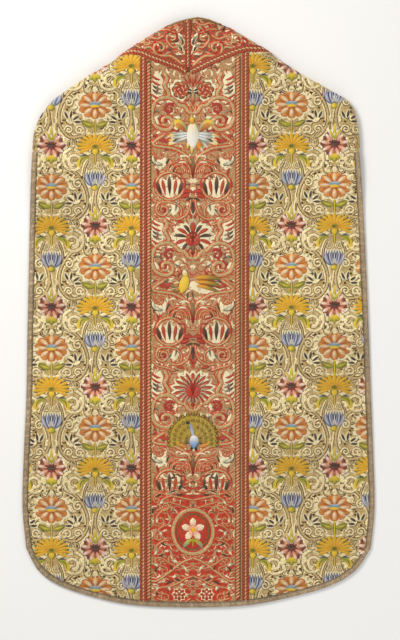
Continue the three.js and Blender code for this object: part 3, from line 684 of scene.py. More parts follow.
# %% Ribbon weave
tree, given, result = group("ribbon_weave", [("Scale", 150.0)])
ribs = node(tree, "ShaderNodeTexWave", {"Vector": given["Vector"],
                                        "Scale": given["Scale"], "Distortion": 0.6},
            bands_direction="DIAGONAL")
warp = node(tree, "ShaderNodeTexWave", {"Vector": given["Vector"],
                                        "Scale": given["Scale"], "Distortion": 0.8},
            bands_direction="Y")
flecks = node(tree, "ShaderNodeTexNoise", {"Vector": given["Vector"], "Scale": 420.0,
                                           "Detail": 2.0})
crossed = math_node(tree, "MULTIPLY", ribs.outputs["Fac"], warp.outputs["Fac"])
speckle = ranged(tree, flecks.outputs["Fac"], 0.36, 0.64)
tree.links.new(crossed, result["Height"])
# The colour darkens in the weave's hollows, as painted shade, and random specks make it lighter and
# darker.
tree.links.new(math_node(tree, "ADD", math_node(tree, "MULTIPLY", crossed, 0.6),
                         math_node(tree, "MULTIPLY", speckle, 0.6)), result["Shade"])
WEAVE = tree

# %% Age and handling
tree, given, result = group("age", [("Scale", 9.0)])
broad = node(tree, "ShaderNodeTexNoise", {"Vector": given["Vector"],
                                          "Scale": given["Scale"], "Detail": 5.0,
                                          "Roughness": 0.6})
spread = ranged(tree, broad.outputs["Fac"], 0.3, 0.72)
tree.links.new(spread, result["Height"])
tree.links.new(spread, result["Shade"])
AGE = tree


# %% One way to make every textile finish
def finish(name, effect, effect_values, dark, light, relief, rough, metallic=0.0, sheen=0.0,
           colour=None, aged=0.12):
    """A finish whose colour is the thread attribute times the effect's shade, stretched from
    dark to light, times the shade of age. The effect's shade is painted shade and light: the colour
    darkens where the effect's relief lies low, and on couched thread it brightens in painted glints.
    The effect's height drives the bump, whose relief is in millimetres. A solid of the frame has
    neither attribute nor UV map, so its finish is given a colour and reads Object coordinates."""
    material = bpy.data.materials.new(name)
    material.use_nodes = True
    tree = material.node_tree
    shader = tree.nodes["Principled BSDF"]
    shader.inputs["Metallic"].default_value = metallic
    shader.inputs["Sheen Weight"].default_value = sheen
    shader.inputs["Sheen Roughness"].default_value = 0.4
    spot = node(tree, "ShaderNodeTexCoord").outputs["Object"]
    where, base = spot, colour
    if colour is None:
        where = node(tree, "ShaderNodeUVMap", uv_map="flat").outputs[0]
        base = node(tree, "ShaderNodeAttribute", attribute_name="thread").outputs["Color"]
    made = node(tree, "ShaderNodeGroup", {"Vector": where, **effect_values}, node_tree=effect)
    age = node(tree, "ShaderNodeGroup", {"Vector": spot}, node_tree=AGE)
    shade = ranged(tree, made.outputs["Shade"], 0.2, 0.95, dark, light)
    old = ranged(tree, age.outputs["Shade"], 0, 1, 1 + aged / 2, 1 - aged)
    factor = math_node(tree, "MULTIPLY", shade, old)
    tinted = node(tree, "ShaderNodeVectorMath", {0: base, "Scale": factor}, operation="SCALE")
    tree.links.new(tinted.outputs[0], shader.inputs["Base Color"])
    gloss = ranged(tree, made.outputs["Shade"], 0, 1, rough + 0.12, rough - 0.08)
    tree.links.new(gloss, shader.inputs["Roughness"])
    bump = node(tree, "ShaderNodeBump", {"Height": made.outputs["Height"], "Strength": 0.9,
                                         "Distance": relief * MM})
    tree.links.new(bump.outputs[0], shader.inputs["Normal"])
    return material


FLOSS = finish("silk_floss", THREADS, {"Scale": 400.0, "Uneven": 1.4}, 0.62, 1.16, 0.4, 0.42,
               sheen=0.15)
METAL = finish("couched_thread", COUCHED, {}, 0.6, 1.5, 0.6, 0.4, metallic=0.25)
CORDS = finish("twisted_cord", THREADS, {"Scale": 520.0, "Uneven": 0.8}, 0.72, 1.12, 0.3, 0.5,
               metallic=0.1)
GALLOON = finish("tarnished_galloon", WEAVE, {"Scale": 130.0}, 0.5, 1.5, 0.5, 0.46, metallic=0.35,
                 aged=0.3)
SATIN = finish("ivory_satin", THREADS, {"Scale": 500.0, "Uneven": 0.5}, 0.93, 1.04, 0.12, 0.4,
               sheen=0.2)
print("finishes:", len(bpy.data.materials))

# %% [markdown]
# ## The cloth panels
#
# The back's panels are covered by couched thread, and the front's are plain satin. A cloth
# simulation could drape them, but this cloth is stiff and lies flat, so its form is known and
# each panel is computed in place. A panel is a grid of points between four border lines. Each
# inner point is blended from both pairs of borders, which is called a Coons patch, and then gets
# its height. The right side and the lining are the same grid 2.6 mm apart, with a strip of faces
# along every free edge, so each panel is a closed thin shell. Beyond the fold's start line the
# rows are steps round the roll.

# %% Patches and shells
Patch = namedtuple("Patch", "right lining flat")
SIDE_ROWS = 140
ROLL_ROWS = 18


def between(bottom, top, start, end):
    """A grid of points between four border lines: the blend of both pairs of borders, less the
    blend of the four corners."""
    u = np.linspace(0, 1, len(bottom))[None, :, None]
    v = np.linspace(0, 1, len(start))[:, None, None]
    low = bottom[0] * (1 - u) + bottom[-1] * u
    high = top[0] * (1 - u) + top[-1] * u
    return (bottom * (1 - v) + top * v + start[:, None] * (1 - u) + end[:, None] * u
            - low * (1 - v) - high * v)


def ruled(a, b, rows):
    """Rows of places that are evenly spaced on the straight way from a to b, which are both
    points or both lines: a (1 - v) + b v, for v from 0 to 1."""
    v = np.linspace(0, 1, rows).reshape(-1, *[1] * np.ndim(a))
    return a * (1 - v) + b * v


def on_table(grid):
    """A patch of the back that isn't on the roll."""
    x, y = grid[..., 0].ravel(), grid[..., 1].ravel()
    z = lining_height(x, y)
    shape = (*grid.shape[:2], 3)
    return Patch(np.column_stack([x, y, z + CLOTH]).reshape(shape),
                 np.column_stack([x, y, z]).reshape(shape), grid)


def on_roll(share_rows, angles):
    """A patch round the fold: each row is an angle with its own shares of the fold's length."""
    rows = []
    for shares, angle in zip(share_rows, angles):
        start, out, radius = fold_at(shares)
        turn = np.full(len(shares), angle)
        rows.append((rolled(start, out, radius, turn, 0), rolled(start, out, radius, turn, -CLOTH),
                     start + out * (radius * angle)[:, None]))
    return Patch(*(np.stack(part) for part in zip(*rows)))


def face_down(grid):
    """A patch of the front, which lies flat on its right side."""
    low = np.concatenate([grid, np.full((*grid.shape[:2], 1), FACE)], -1)
    return Patch(low, low + np.array([0, 0, CLOTH]), grid)


def panel(replaced, patches, material, thread=IVORY):
    """The patches as one closed shell, in place of a solid. Points that patches share are found
    by their place, and the border edges are those that no other face runs along the other way."""
    right = np.concatenate([p.right.reshape(-1, 3) for p in patches])
    lining = np.concatenate([p.lining.reshape(-1, 3) for p in patches])
    flat = np.concatenate([p.flat.reshape(-1, 2) for p in patches])
    _, first, ids = np.unique(np.round(np.hstack([right, lining]), 2), axis=0,
                              return_index=True, return_inverse=True)
    ids = ids.ravel()
    quads, start = [], 0
    for p in patches:
        rows, columns = p.flat.shape[:2]
        quads.append(ids[grid_quads(1, rows, columns) + start])
        start += rows * columns
    quads = np.concatenate(quads)
    right, lining, flat = right[first], lining[first], flat[first]
    across = np.cross(right[quads[:, 2]] - right[quads[:, 0]], right[quads[:, 3]] - right[quads[:, 1]])
    outward = lining[quads[:, 0]] - right[quads[:, 0]]
    if (across * outward).sum() > 0:
        quads = quads[:, ::-1]
    count = len(right)
    edges = np.concatenate([quads[:, [k, (k + 1) % 4]] for k in range(4)])
    rim = edges[~np.isin(edges[:, 0] * count + edges[:, 1], edges[:, 1] * count + edges[:, 0])]
    strip = np.stack([rim[:, 1], rim[:, 0], rim[:, 0] + count, rim[:, 1] + count], 1)
    faces = np.concatenate([quads, quads[:, ::-1] + count, strip])
    obj = build(f"cloth_{replaced}", np.concatenate([right, lining]) * MM, faces,
                np.tile(flat, (2, 1)), np.tile(thread, (2 * count, 1)), material)
    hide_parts(replaced)


# %% Border lines that the panels share
EDGE_LINE = np.concatenate([SIDE_LINES["left"][::-1], HEM_LINE[1:], SIDE_LINES["right"][1:]])
EDGE_LEFT = directions(EDGE_LINE)[1]
INSET_LINE = EDGE_LINE + EDGE_LEFT * EDGE_INSET
INSET_SIDE = {"left": INSET_LINE[:401][::-1], "right": INSET_LINE[-401:]}
INSET_HEM = INSET_LINE[400:801]
HEM_CORNER = {"left": INSET_HEM[0, 0], "right": INSET_HEM[-1, 0]}


def yoke_share(side, angle):
    """Where the yoke's seam crosses the fold, after going round by an angle."""
    return fold_share(YOKE_START[side]) + SIGN[side] * YOKE_SLANT * angle / math.pi / TOP_LENGTH


def on_hem(x):
    """Points of the bound hem at given x."""
    return np.column_stack([x, np.interp(x, *INSET_HEM.T)])


print("shoulder fold, mm:", round(TOP_LENGTH), "edge, mm:", round(run_along(EDGE_LINE)[-1]))

NECK_SHARE = {side: fold_share(x) for side, x in NECK_CORNERS.items()}
MIDDLE_SHARE = fold_share(YOKE_MIDDLE)
GAP_SHARE = SEAM_GAP / TOP_LENGTH
SEAM_COLUMNS = 3
SIDE_COLUMNS = 58
YOKE_COLUMNS = 30
NECK_COLUMNS = 14


def back_side(side):
    """A side panel: from the hem up to the fold, and round it."""
    sign = SIGN[side]
    seam_x = SEAMS[side] + sign * SEAM_GAP / 2
    angles = np.linspace(0, math.pi, ROLL_ROWS)
    corner = 0 if side == "left" else 1
    shares = [np.linspace(yoke_share(side, a) + sign * GAP_SHARE, corner, SIDE_COLUMNS)
              for a in angles]
    first_row = fold_at(shares[0])[0]
    seam_top = np.array([seam_x, seam_y(SEAMS[side]) - SEAM_GAP / 2])
    lead = np.linspace(0, 1, SEAM_COLUMNS + 1)[:-1, None]
    top = np.concatenate([seam_top * (1 - lead) + first_row[0] * lead, first_row])
    beside = seam_x + sign * 9
    x = np.concatenate([np.linspace(seam_x, beside, SEAM_COLUMNS + 1)[:-1],
                        np.linspace(beside, HEM_CORNER[side], SIDE_COLUMNS)])
    bottom = on_hem(x)
    outer = evenly(np.concatenate([INSET_SIDE[side][:-3], first_row[-1:]]), SIDE_ROWS)
    bottom[-1] = outer[0]
    seam = ruled(bottom[0], top[0], SIDE_ROWS + 1)
    patches = [on_table(between(bottom, top, seam, outer)), on_roll(shares, angles)]
    patches[1].right[0], patches[1].lining[0] = (patches[0].right[-1, SEAM_COLUMNS:],
                                                 patches[0].lining[-1, SEAM_COLUMNS:])
    panel(f"back_side_{side}", patches, METAL, KHAKI)


def back_column(pieces):
    """The column's cloth, between its two seams, from the hem to the yoke's seam."""
    x = np.linspace(SEAMS["left"] + SEAM_GAP / 2, SEAMS["right"] - SEAM_GAP / 2, 56)
    bottom = on_hem(x)
    top = np.column_stack([x, seam_y(x) - SEAM_GAP / 2])
    panel("back_column", [on_table(ruled(bottom, top, SIDE_ROWS + 1))], METAL,
          COLUMN_GROUND)


def back_yoke(side):
    """Half of the yoke: beside the neck it goes round the fold, behind it, it only curls over."""
    sign = SIGN[side]
    neck = np.linspace(NECK_SHARE[side], MIDDLE_SHARE + sign * GAP_SHARE / 2, NECK_COLUMNS)[1:]

    def shares(angle):
        """The fold's shares under the columns of places, once the cloth has turned by angle."""
        beside = np.linspace(yoke_share(side, angle) - sign * GAP_SHARE, NECK_SHARE[side],
                             YOKE_COLUMNS)
        return np.concatenate([beside, neck])

    top = fold_at(shares(0))[0]
    middle_x = YOKE_MIDDLE + sign * SEAM_GAP / 2
    top[-1, 0] = middle_x
    x = np.linspace(top[0, 0], middle_x, len(top))
    seam = np.column_stack([x, seam_y(x) + SEAM_GAP / 2])
    seam[0] = top[0] - (0, 0.4)
    flat = on_table(ruled(seam, top, 16))
    curls = np.linspace(0, NECK_CURL, 7)
    rest = np.linspace(NECK_CURL, math.pi, 13)
    curl_patch = on_roll([shares(a) for a in curls], curls)
    curl_patch.right[0], curl_patch.lining[0] = flat.right[-1], flat.lining[-1]
    under = on_roll([shares(a)[:YOKE_COLUMNS] for a in rest], rest)
    panel(f"back_yoke_{side}", [flat, curl_patch, under], METAL, YOKE_GROUND)


# %% [markdown]
# ## The front
#
# The front lies face down under the back, so it is seen only at its edges. Its panels are cut
# from the same border lines as the model's solids and stay flat on the table. The column is
# parted at the top by the neck slit, so it is two patches that share the line below the slit.

# %% The front's outlines, seen from above
def fold_end(side):
    """Where the yoke's seam leaves the fold on the front."""
    return fold_at(yoke_share(side, math.pi))[0]


SLIT_END = np.array([COLUMN_MIDDLE, 560 - NECK_DEPTH])
NECK_CORNER = {side: fold_at(NECK_SHARE[side] - SIGN[side] * EDGE_INSET / TOP_LENGTH)[0]
               for side in SIGN}
AT_SLIT = {side: NECK_CORNER[side] * (1 - FRONT_SEAM_AT_NECK) + SLIT_END * FRONT_SEAM_AT_NECK
           for side in SIGN}


def front_seam(side, x):
    """Points of the front's yoke seam at given x."""
    a, b = fold_end(side), AT_SLIT[side]
    return np.column_stack([x, a[1] + (b[1] - a[1]) * (x - a[0]) / (b[0] - a[0])])


def inset(side, line, distance):
    """The line moved towards the front's middle: to the left of its course on the left side."""
    return line + directions(line)[1] * distance * -SIGN[side]


def front_outline_of(side):
    """Half of the front's outline, from the shoulder corner down to the middle of the hem."""
    half = FRONT_LINE[:113] if side == "left" else FRONT_LINE[112:][::-1]
    return inset(side, half, EDGE_INSET)


def front_side(side):
    """A front side panel, from the column's seam out to the cut-away edge."""
    sign = SIGN[side]
    outline = front_outline_of(side)
    seam_x = SEAMS[side] + sign * SEAM_GAP / 2
    crossing = int(np.argmax((outline[:, 0] - seam_x) * sign < 0))
    hip = int(np.argmin(np.abs(outline[:, 1] + 440)))
    bottom = evenly(outline[hip:crossing][::-1], 30)
    bottom[:, 0] = np.where((bottom[:, 0] - seam_x) * sign < 0, seam_x, bottom[:, 0])
    bottom[0, 0] = seam_x
    outer = evenly(outline[:hip + 1][::-1], 60)
    shares = np.linspace(yoke_share(side, math.pi) + sign * GAP_SHARE, 0 if side == "left" else 1, 40)
    fold = fold_at(shares)[0]
    top = evenly(np.concatenate([front_seam(side, np.array([seam_x])) - (0, 0.3), fold]), 30)
    seam = ruled(bottom[0], top[0], 61)
    outer[0], outer[-1] = bottom[-1], top[-1]
    panel(f"front_side_{side}", [face_down(between(bottom, top, seam, outer))], SATIN)


def front_column():
    """The front column, whose top is parted by the neck slit."""
    patches = []
    for side, sign in SIGN.items():
        seam_x = SEAMS[side] - sign * SEAM_GAP / 2
        outline = front_outline_of(side)[::-1]
        inside = (outline[:, 0] - seam_x) * sign < 0
        bottom = evenly(outline[inside], 20)[::-1]
        bottom[0, 0] = seam_x
        bottom[-1] = (COLUMN_MIDDLE, FRONT_LINE[112, 1] + EDGE_INSET)
        slit = AT_SLIT[side] + (sign * EDGE_INSET, 0)
        top = front_seam(side, np.linspace(seam_x, slit[0], 21)) - (0, 0.3)
        notch = np.array([COLUMN_MIDDLE, SLIT_END[1] - EDGE_INSET])
        down = np.concatenate([evenly(np.array([bottom[-1], notch]), 60),
                               evenly(np.array([notch, top[-1]]), 10)[1:]])
        seam = ruled(bottom[0], top[0], len(down))
        patches.append(face_down(between(bottom, top, seam, down)[:, ::sign]))
    panel("front_column", patches, SATIN, RED)


def front_yoke(side):
    """Half of the front's yoke, between its seam, the fold and the slit."""
    sign = SIGN[side]
    shares = np.linspace(yoke_share(side, math.pi) - sign * GAP_SHARE, NECK_SHARE[side], 31)
    top = fold_at(shares)[0]
    x = np.linspace(top[0, 0], AT_SLIT[side][0] + sign * EDGE_INSET, 31)
    seam = front_seam(side, x) + (0, 0.3)
    seam[0] = top[0] - (0, 0.4)
    panel(f"front_yoke_{side}", [face_down(ruled(seam, top, 21))], SATIN, RED)


print("slit end and neck corners:", SLIT_END, NECK_CORNERS)

# %% [markdown]
# ## Flowers of the side panels
#
# Each side panel is covered by one repeat: a daisy, a chrysanthemum, a tulip and a rosette down
# one line, with scrolls of gold thread on both sides of it. The lines stand half a repeat apart,
# so that every flower faces a gap. On the real garment each petal is a patch of satin stitch in
# floss silk, so here each is a padded shape of its own. A bump map could only hint at that
# relief.

# %% The four flowers, in millimetres, each round its own middle
def wheel(count, first=0.0, spread=360.0):
    """Angles in degrees for petals that stand round a middle, from a first one."""
    return first + spread * np.arange(count) / (count if spread == 360 else count - 1)


def daisy():
    """A scalloped orange disc with eight pale petals, and an eye of a blue arch on a yellow
    lens."""
    petals, gaps = wheel(8, 90), wheel(8, 112)
    eye = join([
        pads(-12, 3.0, 0, 24, 13, 2.3, TEAL, blunt=0.7),
        pads([-8, -3], [6.0, 5.6], [-4, 4], 11, 4.4, 2.9, LAVENDER, PALE_BLUE, blunt=0.5),
        pads(-9.5, -2.6, 0, 19, 10, 3.0, YELLOW),
        pads(-8, -6.2, 0, 16, 3.4, 3.2, ORANGE, BURNT),
    ])
    return shaped(join([
        pads(0, 0, wheel(11, 8), 39, 22, 0.5, IVORY, full=1.8, blunt=0.5),
        pads(0, 0, wheel(11, 8), 35, 19, 0.75, BURNT, full=1.8, blunt=0.5),
        pads(0, 0, wheel(11, 8), 33, 14, 1.1, BURNT, ORANGE, full=1.8, blunt=0.5),
        pads(*around(gaps, 15), gaps, 17, 5.6, 1.9, BURNT, ORANGE),
        outlined(BURNT, *around(petals, 8), petals, 21, 10, PEACH, margin=1.1, height=2.0,
                 full=1.2),
        pads(*around(petals, 11), petals, 16, 6.6, 2.5, CREAM, PEACH, full=1.2),
        eye,
    ]), tall=0.82)


def chrysanthemum():
    """A wide fan of thirteen golden petals, a green heart, a round yellow bud and dark sepals."""
    petals, shadow = wheel(13, -28, 236), wheel(15, -30, 240)
    return shaped(join([
        pads(0, 0, shadow, 42, 13, 0.5, IVORY, full=1.7, blunt=0.5),
        pads(0, 0, shadow, 37, 12, 0.85, OLIVE, full=1.7, blunt=0.5),
        outlined(BURNT, 0, 0, petals, 37, 8.8, GOLDEN, YELLOW, margin=0.8, full=1.8, blunt=0.5),
        pads(*around(petals, 9), petals, 26, 4.6, 2.5, YELLOW, GOLDEN, full=1.4),
        pads(0, 0, wheel(8), 11, 3.8, 2.9, OLIVE, YELLOW),
        outlined(OLIVE, 0, -4, 270, 18, 13, YELLOW, margin=1.2, height=2.7, full=0.9, blunt=0.5),
        pads([-16, 16], -20, [200, -20], 15, 6, 1.7, NAVY, SAGE, bend=[-30, 30]),
    ]), tall=0.72)


def tulip():
    """A cup of nine blue and white petals over dark ones, on a small yellow cup. Petal k of -1
    to 1 leans outwards at its foot and stands upright at its tip."""
    k = np.linspace(-1, 1, 9)
    x, angle, bend = 8.0 * k, 90 - 24 * k, 62 * k
    return join([
        pads(x * 0.9, -16, angle, 37, 11, 0.5, IVORY, full=1.1, blunt=0.5, bend=bend),
        pads(x, -12, angle, 30, 6.6, 1.1, NAVY, full=1.1, blunt=0.5, bend=bend),
        pads(x, -12, angle, 29, 3.2, 2.1, LAVENDER, full=1.1, bend=bend),
        pads(x[::2], -9, angle[::2], 23, 1.8, 2.6, PALE_BLUE, WHITE, bend=bend[::2]),
        outlined(OLIVE, -6.5, -15, 0, 13, 11, YELLOW, LIME, margin=1.3, height=2.7, blunt=0.5),
    ])


def rosette():
    """Nine pink petals on a dark red disc with gold between them, a dark bar for its middle, a
    three-pronged bud above and a green cup below."""
    petals, gaps = wheel(9, 10), wheel(9, 30)
    return shaped(join([
        pads(0, 0, wheel(12), 32, 18, 0.5, IVORY, full=1.8, blunt=0.5),
        pads(0, 0, wheel(12), 28, 15, 1.0, MAROON, full=1.9, blunt=0.5),
        outlined(MAROON, *around(petals, 8), petals, 19, 9.4, PINK, margin=1.2, height=2.0,
                 full=1.2, blunt=0.5),
        pads(*around(petals, 12), petals, 14, 5.6, 2.6, PEACH, WHITE, full=1.2, blunt=0.5),
        pads(*around(gaps, 10), gaps, 15, 2.6, 2.1, ORANGE, BROWN),
        pads(-9, 0.5, 0, 18, 9, 2.4, BROWN, blunt=0.5),
        pads(-8, 2, 0, 16, 4.5, 3.0, DARK, blunt=0.5),
        outlined(WHITE, 0, 8, [90, 64, 116], [34, 25, 25], [8, 6.5, 6.5], LIME, YELLOW, margin=2.0,
                 height=2.4, full=0.9),
        outlined(OLIVE, 0, -18, [270, 232, 308], 18, 9, YELLOW, LIME, height=2.3),
    ]), tall=0.94)


# %% Where the flowers stand in the repeat, and their leaves
REPEAT = 306.0
CHRYSANTHEMUM_Y = -78.0
TULIP_Y = -141.0
ROSETTE_Y = -228.0


def side_flowers():
    """One repeat of silk: the four flowers, the stems between them and their leaves."""
    fan = np.array([178, 146, 100, 64])
    leaves = both(join([
        outlined(OLIVE, 2, -38, 22, 26, 9.5, LIME, OLIVE, margin=1.2, bend=50),
        pads(6, -37, 22, 20, 3.2, 2.4, YELLOW, LIME, bend=50),
        outlined(OLIVE, 12, -99, -54, 36, 12.5, LIME, YELLOW, margin=1.4, bend=-140, full=1.1),
        pads(14, -98, -52, 27, 2.4, 2.5, OLIVE, DARK, bend=-130),
        outlined(IVORY, *around(fan, 7, 48, -32), fan, 16, 5.8, DARK, BROWN, margin=1.8,
                 height=1.6),
        outlined(BROWN, [9, 22], [26, 32], [112, 132], 12, [4, 4.4], DARK, BROWN, margin=0.8,
                 height=1.4, bend=-25),
    ]))
    stems = join([couched(path([(0, a), (0.3, (a + b) / 2), (0, b)]), 4.8, YELLOW, OLIVE, 1.5, 1.2)
                  for a, b in ((-26, -56), (-92, -112))])
    return join([
        stems, leaves, daisy(), shaped(chrysanthemum(), y=CHRYSANTHEMUM_Y),
        shaped(tulip(), y=TULIP_Y), shaped(rosette(), y=ROSETTE_Y),
    ])


# %% [markdown]
# ## Gold scrolls of the side panels
#
# The scrolls are couched gold thread: rows laid side by side and held by tiny stitches across
# them. Drawn point by point, a scroll would need dozens of places. Here it has three or four, a
# smooth curve runs through them, and a spiral carries it on. Short commas at seeded random
# places fill the ground, as small stitches do between the scrolls of the real work.

# %% Scrolls, spirals and the commas between them
def scroll(line, width):
    """A tan band with sepia outlines, on a pale gold one that shows on both sides of it."""
    return join([band(line, width + 5, 0.42, PALE_GOLD),
                 couched(line, width, TAN, SEPIA, 1.3, 1.8)])


def pale_scroll(line, width):
    """A pale gold band with sepia outlines, on a tan one."""
    return join([band(line, width + 3.5, 0.42, TAN),
                 couched(line, width, PALE_GOLD, SEPIA, 1.3, 1.2)])


def strewn(chance, count, low, high, turn):
    """Rows of x, y, direction and bend of short commas that lie at random between two corners."""
    return np.stack([chance.uniform(low[0], high[0], count), chance.uniform(low[1], high[1], count),
                     chance.uniform(0, 360, count), chance.choice([-turn, turn], count)])


def fill_of_gold(count):
    """Seeded commas of sepia, pale gold and old gold on the ground between the scrolls."""
    x, y, angle, bend = strewn(np.random.default_rng(9), count, (0, -REPEAT), (77, 0), 120)
    colours = (SEPIA, PALE_GOLD, OLD_GOLD, PALE_GOLD)
    return join([pads(x[k::4], y[k::4], angle[k::4], 13, 4.2, 0.4, colour, bend=bend[k::4],
                      coarse=True) for k, colour in enumerate(colours)])


def side_scrolls():
    """Half a repeat of scrolls, mirrored: a ring round the daisy, two spirals inside it, a
    large one beside the tulip, and short bands that join them."""
    ring = path([(24, 38), (46, 26), (62, 4), (69, -22), (64, -44), (48, -60), (26, -58)])
    spirals = ((30, -47, 9.5, 1.4, 200, -1, 7.0), (50, -46, 9.0, 1.4, -30, 1, 6.6),
               (50, 6, 9.5, 1.4, 60, 1, 6.6), (11, -115, 6.5, 1.2, 90, 1, 4.8))
    hooked = (([(12, -102), (20, -120), (22, -138)], 11, 0.9, 1, 6.4),
              ([(16, -196), (32, -204), (44, -216)], 10, 1.2, -1, 6.6),
              ([(30, -252), (22, -262), (20, -276)], 9, 1.0, -1, 6.4))
    lines = [
        scroll(curl(ring, 9, 0.7, -1), 9.0),
        *(pale_scroll(spiral(*turns), width) for *turns, width in spirals),
        scroll(path([(44, -62), (46, -74), (42, -86)]), 8.0),
        pale_scroll(curl(path([(44, -80), (58, -90), (60, -104)]), 19, 1.35, -1, 0.3), 9.0),
        *(scroll(curl(path(points), *turns), width) for points, *turns, width in hooked),
        scroll(path([(70, -22), (73, -40), (72, -60)]), 5.4),
    ]
    x, y = np.array([(40, -14), (57, 18), (36, 22), (18, -66), (62, -72), (30, -112), (12, 46),
                     (52, -128), (30, -160), (20, -186)]).T
    berries = pads(x - 2.4, y, 0, 4.8, 4.8, 1.8, BROWN, DARK, blunt=0.5)
    x, y, turns = np.array([(27, 10, 60), (52, 36, 140), (16, -74, 250), (62, -118, 330),
                            (34, -140, 20), (8, -188, 100), (50, -152, 200), (24, -212, 300),
                            (12, 30, 160), (40, -180, 40), (7, -52, 20), (16, -46, 340)]).T
    commas = outlined(SEPIA, x, y, turns, 17, 7.0, PALE_GOLD, margin=0.8, height=1.1, full=0.7,
                      bend=np.where(turns % 40, 90, -90))
    x, y, turns = np.array([(12, -88, 30), (22, -84, 200), (58, -106, 80), (8, -150, 100),
                            (30, -176, 330), (46, -192, 60), (14, -212, 290), (36, -236, 20),
                            (20, -262, 250), (48, -268, 40), (6, 44, 70), (34, 48, 310)]).T
    hooks = outlined(SEPIA, x, y, turns, 19, 7.5, PALE_GOLD, margin=0.9, height=1.1, full=0.65,
                     bend=np.where(turns % 20, 130, -130))
    return both(join([fill_of_gold(80), *lines, berries, commas, hooks]))


SIDE_TILE = side_flowers()
SCROLL_TILE = side_scrolls()
print("one repeat:", len(SIDE_TILE.quads), "faces of silk,", len(SCROLL_TILE.quads), "of metal")

# x of a flower line, then the height of one of its daisies
FLOWER_LINES = {
    "left": [(-279.0, -67.5), (-196.0, 86.5), (-127.0, -67.5), (-352.0, 86.5)],
    "right": [(103.0, -67.5), (176.5, 88.0), (258.0, -64.0), (329.0, 88.0)],
}


def side_places(side):
    """Every (x, y) at which a repeat starts on a side panel."""
    return [(x, y + REPEAT * k) for x, y in FLOWER_LINES[side] for k in range(-2, 4)]


# %% [markdown]
# ## Trimming and sewing
#
# In real work the pattern runs on under the braids. Here it would push through them, so the
# faces outside a panel's border are left out. A Boolean cut of that many small pads would be slow
# and leave ragged edges. Instead the border is a function that gives the distance inside it: it
# decides which faces stay, and lets the last two millimetres sink to a thin film.

# %% What the braids leave free of each panel
# Embroidery runs under a braid or the galloon a little, so that no ground shows between them.
BESIDE_BRAID = 5.5
BESIDE_YOKE_BRAID = 6.5
ABOVE_HEM = 9.5


def side_margin(side):
    """A function for the distance of points inside the border of a side panel's embroidery."""
    sign, line = SIGN[side], SIDE_LINES[side]

    def margin(x, y):
        """The least of the distances from the column's braid, the galloon and the hem; on the
        fold, from the yoke's braid, which slants outwards, and from the fold's end."""
        inner = sign * (x - SEAMS[side]) - BESIDE_BRAID
        outer = sign * (np.interp(y, line[:, 1], line[:, 0]) - x) - EDGE_BRAID_WIDTH + 1.5
        free = np.minimum(np.minimum(inner, outer), y - hem_y(x) - ABOVE_HEM)
        high = np.flatnonzero(y > FOLD_ZONE)
        _, _, radius, share, beyond, _ = nearest_fold(x[high], y[high])
        turned = np.clip(beyond / radius, 0, math.pi)
        seam = fold_share(YOKE_START[side]) + sign * YOKE_SLANT * turned / math.pi / TOP_LENGTH
        beside = sign * (share - seam) * TOP_LENGTH - BESIDE_YOKE_BRAID
        below = seam_y(x[high]) - 7 - y[high]
        inboard = sign * (x[high] - YOKE_START[side]) < 0
        flat = np.where(inboard, np.minimum(free[high], below), free[high])
        within = np.minimum(share, 1 - share) * TOP_LENGTH - 2.5
        round_it = np.minimum(np.minimum(beside, within), 0.96 * math.pi * radius - beyond)
        free[high] = np.where(beyond > 0, np.minimum(round_it, inner[high] + 40), flat)
        return free

    return margin


def sew(name, work, margin, material, slot):
    """Embroidery trimmed to its region, laid on the back and built."""
    trimmed = clipped(work, margin)
    return build(name, lay_on_back(trimmed.points), trimmed.quads, trimmed.uv, trimmed.thread,
                 material)


# %% Sew the side panels
SILK = (FLOSS, "silk_floss")
GOLD = (METAL, "metal_thread")
for side in SIGN:
    places, margin = side_places(side), side_margin(side)
    silk = sew(f"flowers_{side}", repeated(SIDE_TILE, places), margin, *SILK)
    gold = sew(f"scrolls_{side}", repeated(SCROLL_TILE, places), margin, *GOLD)
    back_side(side)
    front_side(side)
    front_yoke(side)
front_column()

# %% [markdown]
# ## The column's embroidery
#
# The column is worked in tan bands edged with red, on ivory, with red and dark leaves between
# them. One unit is a great flower, the scrolls that spring from it, a bird, and two round
# flowers below; it is drawn as one half and mirrored. The three units differ in their flower and
# their bird. Below them stands a plain oval cartouche with a five-petalled flower.

# %% Threads and parts that the column's motifs share
ORPHREY_MIDDLE = -10.5
FIELD_HALF = 79.0
UNIT_TOPS = (421.0, 145.0, -143.5)


def red_band(line, width):
    """A tan band between red outlines, which take up two fifths more than its width."""
    return couched(line, width * 1.4, COLUMN_TAN, COLUMN_RED, 1.5, 1.9)


def red_curl(line, width, taper=0.45):
    """A tapering curl of red silk with a dark edge."""
    return join([band(line, width + 1.8, 0.9, DEEP_RED, taper),
                 band(line, width - 0.6, 1.7, RED, taper)])


def red_hooks(*rows):
    """Red-edged bands that end in a curl. A row has the points of the line, then the curl's
    radius, turns and side, and the band's width."""
    return join([red_band(curl(path(points), *turns), width) for points, *turns, width in rows])


def red_lines(*rows):
    """Red-edged bands along smooth lines, from rows of points and a width."""
    return join([red_band(path(points), width) for points, width in rows])



def feathers(x, y):
    """Red and dark crescents on a pale patch, one above another, at the field's side."""
    rows = y + np.array([25, 16, 7, -1, -10, -20])
    patch = pads(x + 8, y - 34, 90, 66, 25, 0.6, IVORY, blunt=0.3)
    red = outlined(DEEP_RED, x - 3, rows[[0, 1, 4, 5]], -28, [20, 22, 23, 22], 4.6, COLUMN_RED,
                   margin=0.7, height=1.6, bend=60)
    dark = outlined(BROWN, x - 2, rows[2:4], -24, [23, 22], 5.0, DARK, SAGE, margin=0.6,
                    height=1.6, bend=60)
    return join([patch, red, dark])


def nested_arcs(x, y):
    """Three half rings of tan and red, one inside another."""
    return red_lines(*(([(x - reach, y - 5), (x - reach * 0.75, y + reach * 0.55),
                         (x, y + reach * 0.85), (x + reach * 0.75, y + reach * 0.5),
                         (x + reach * 0.95, y - 6)], 4.4) for reach in (23, 15, 7.5)))


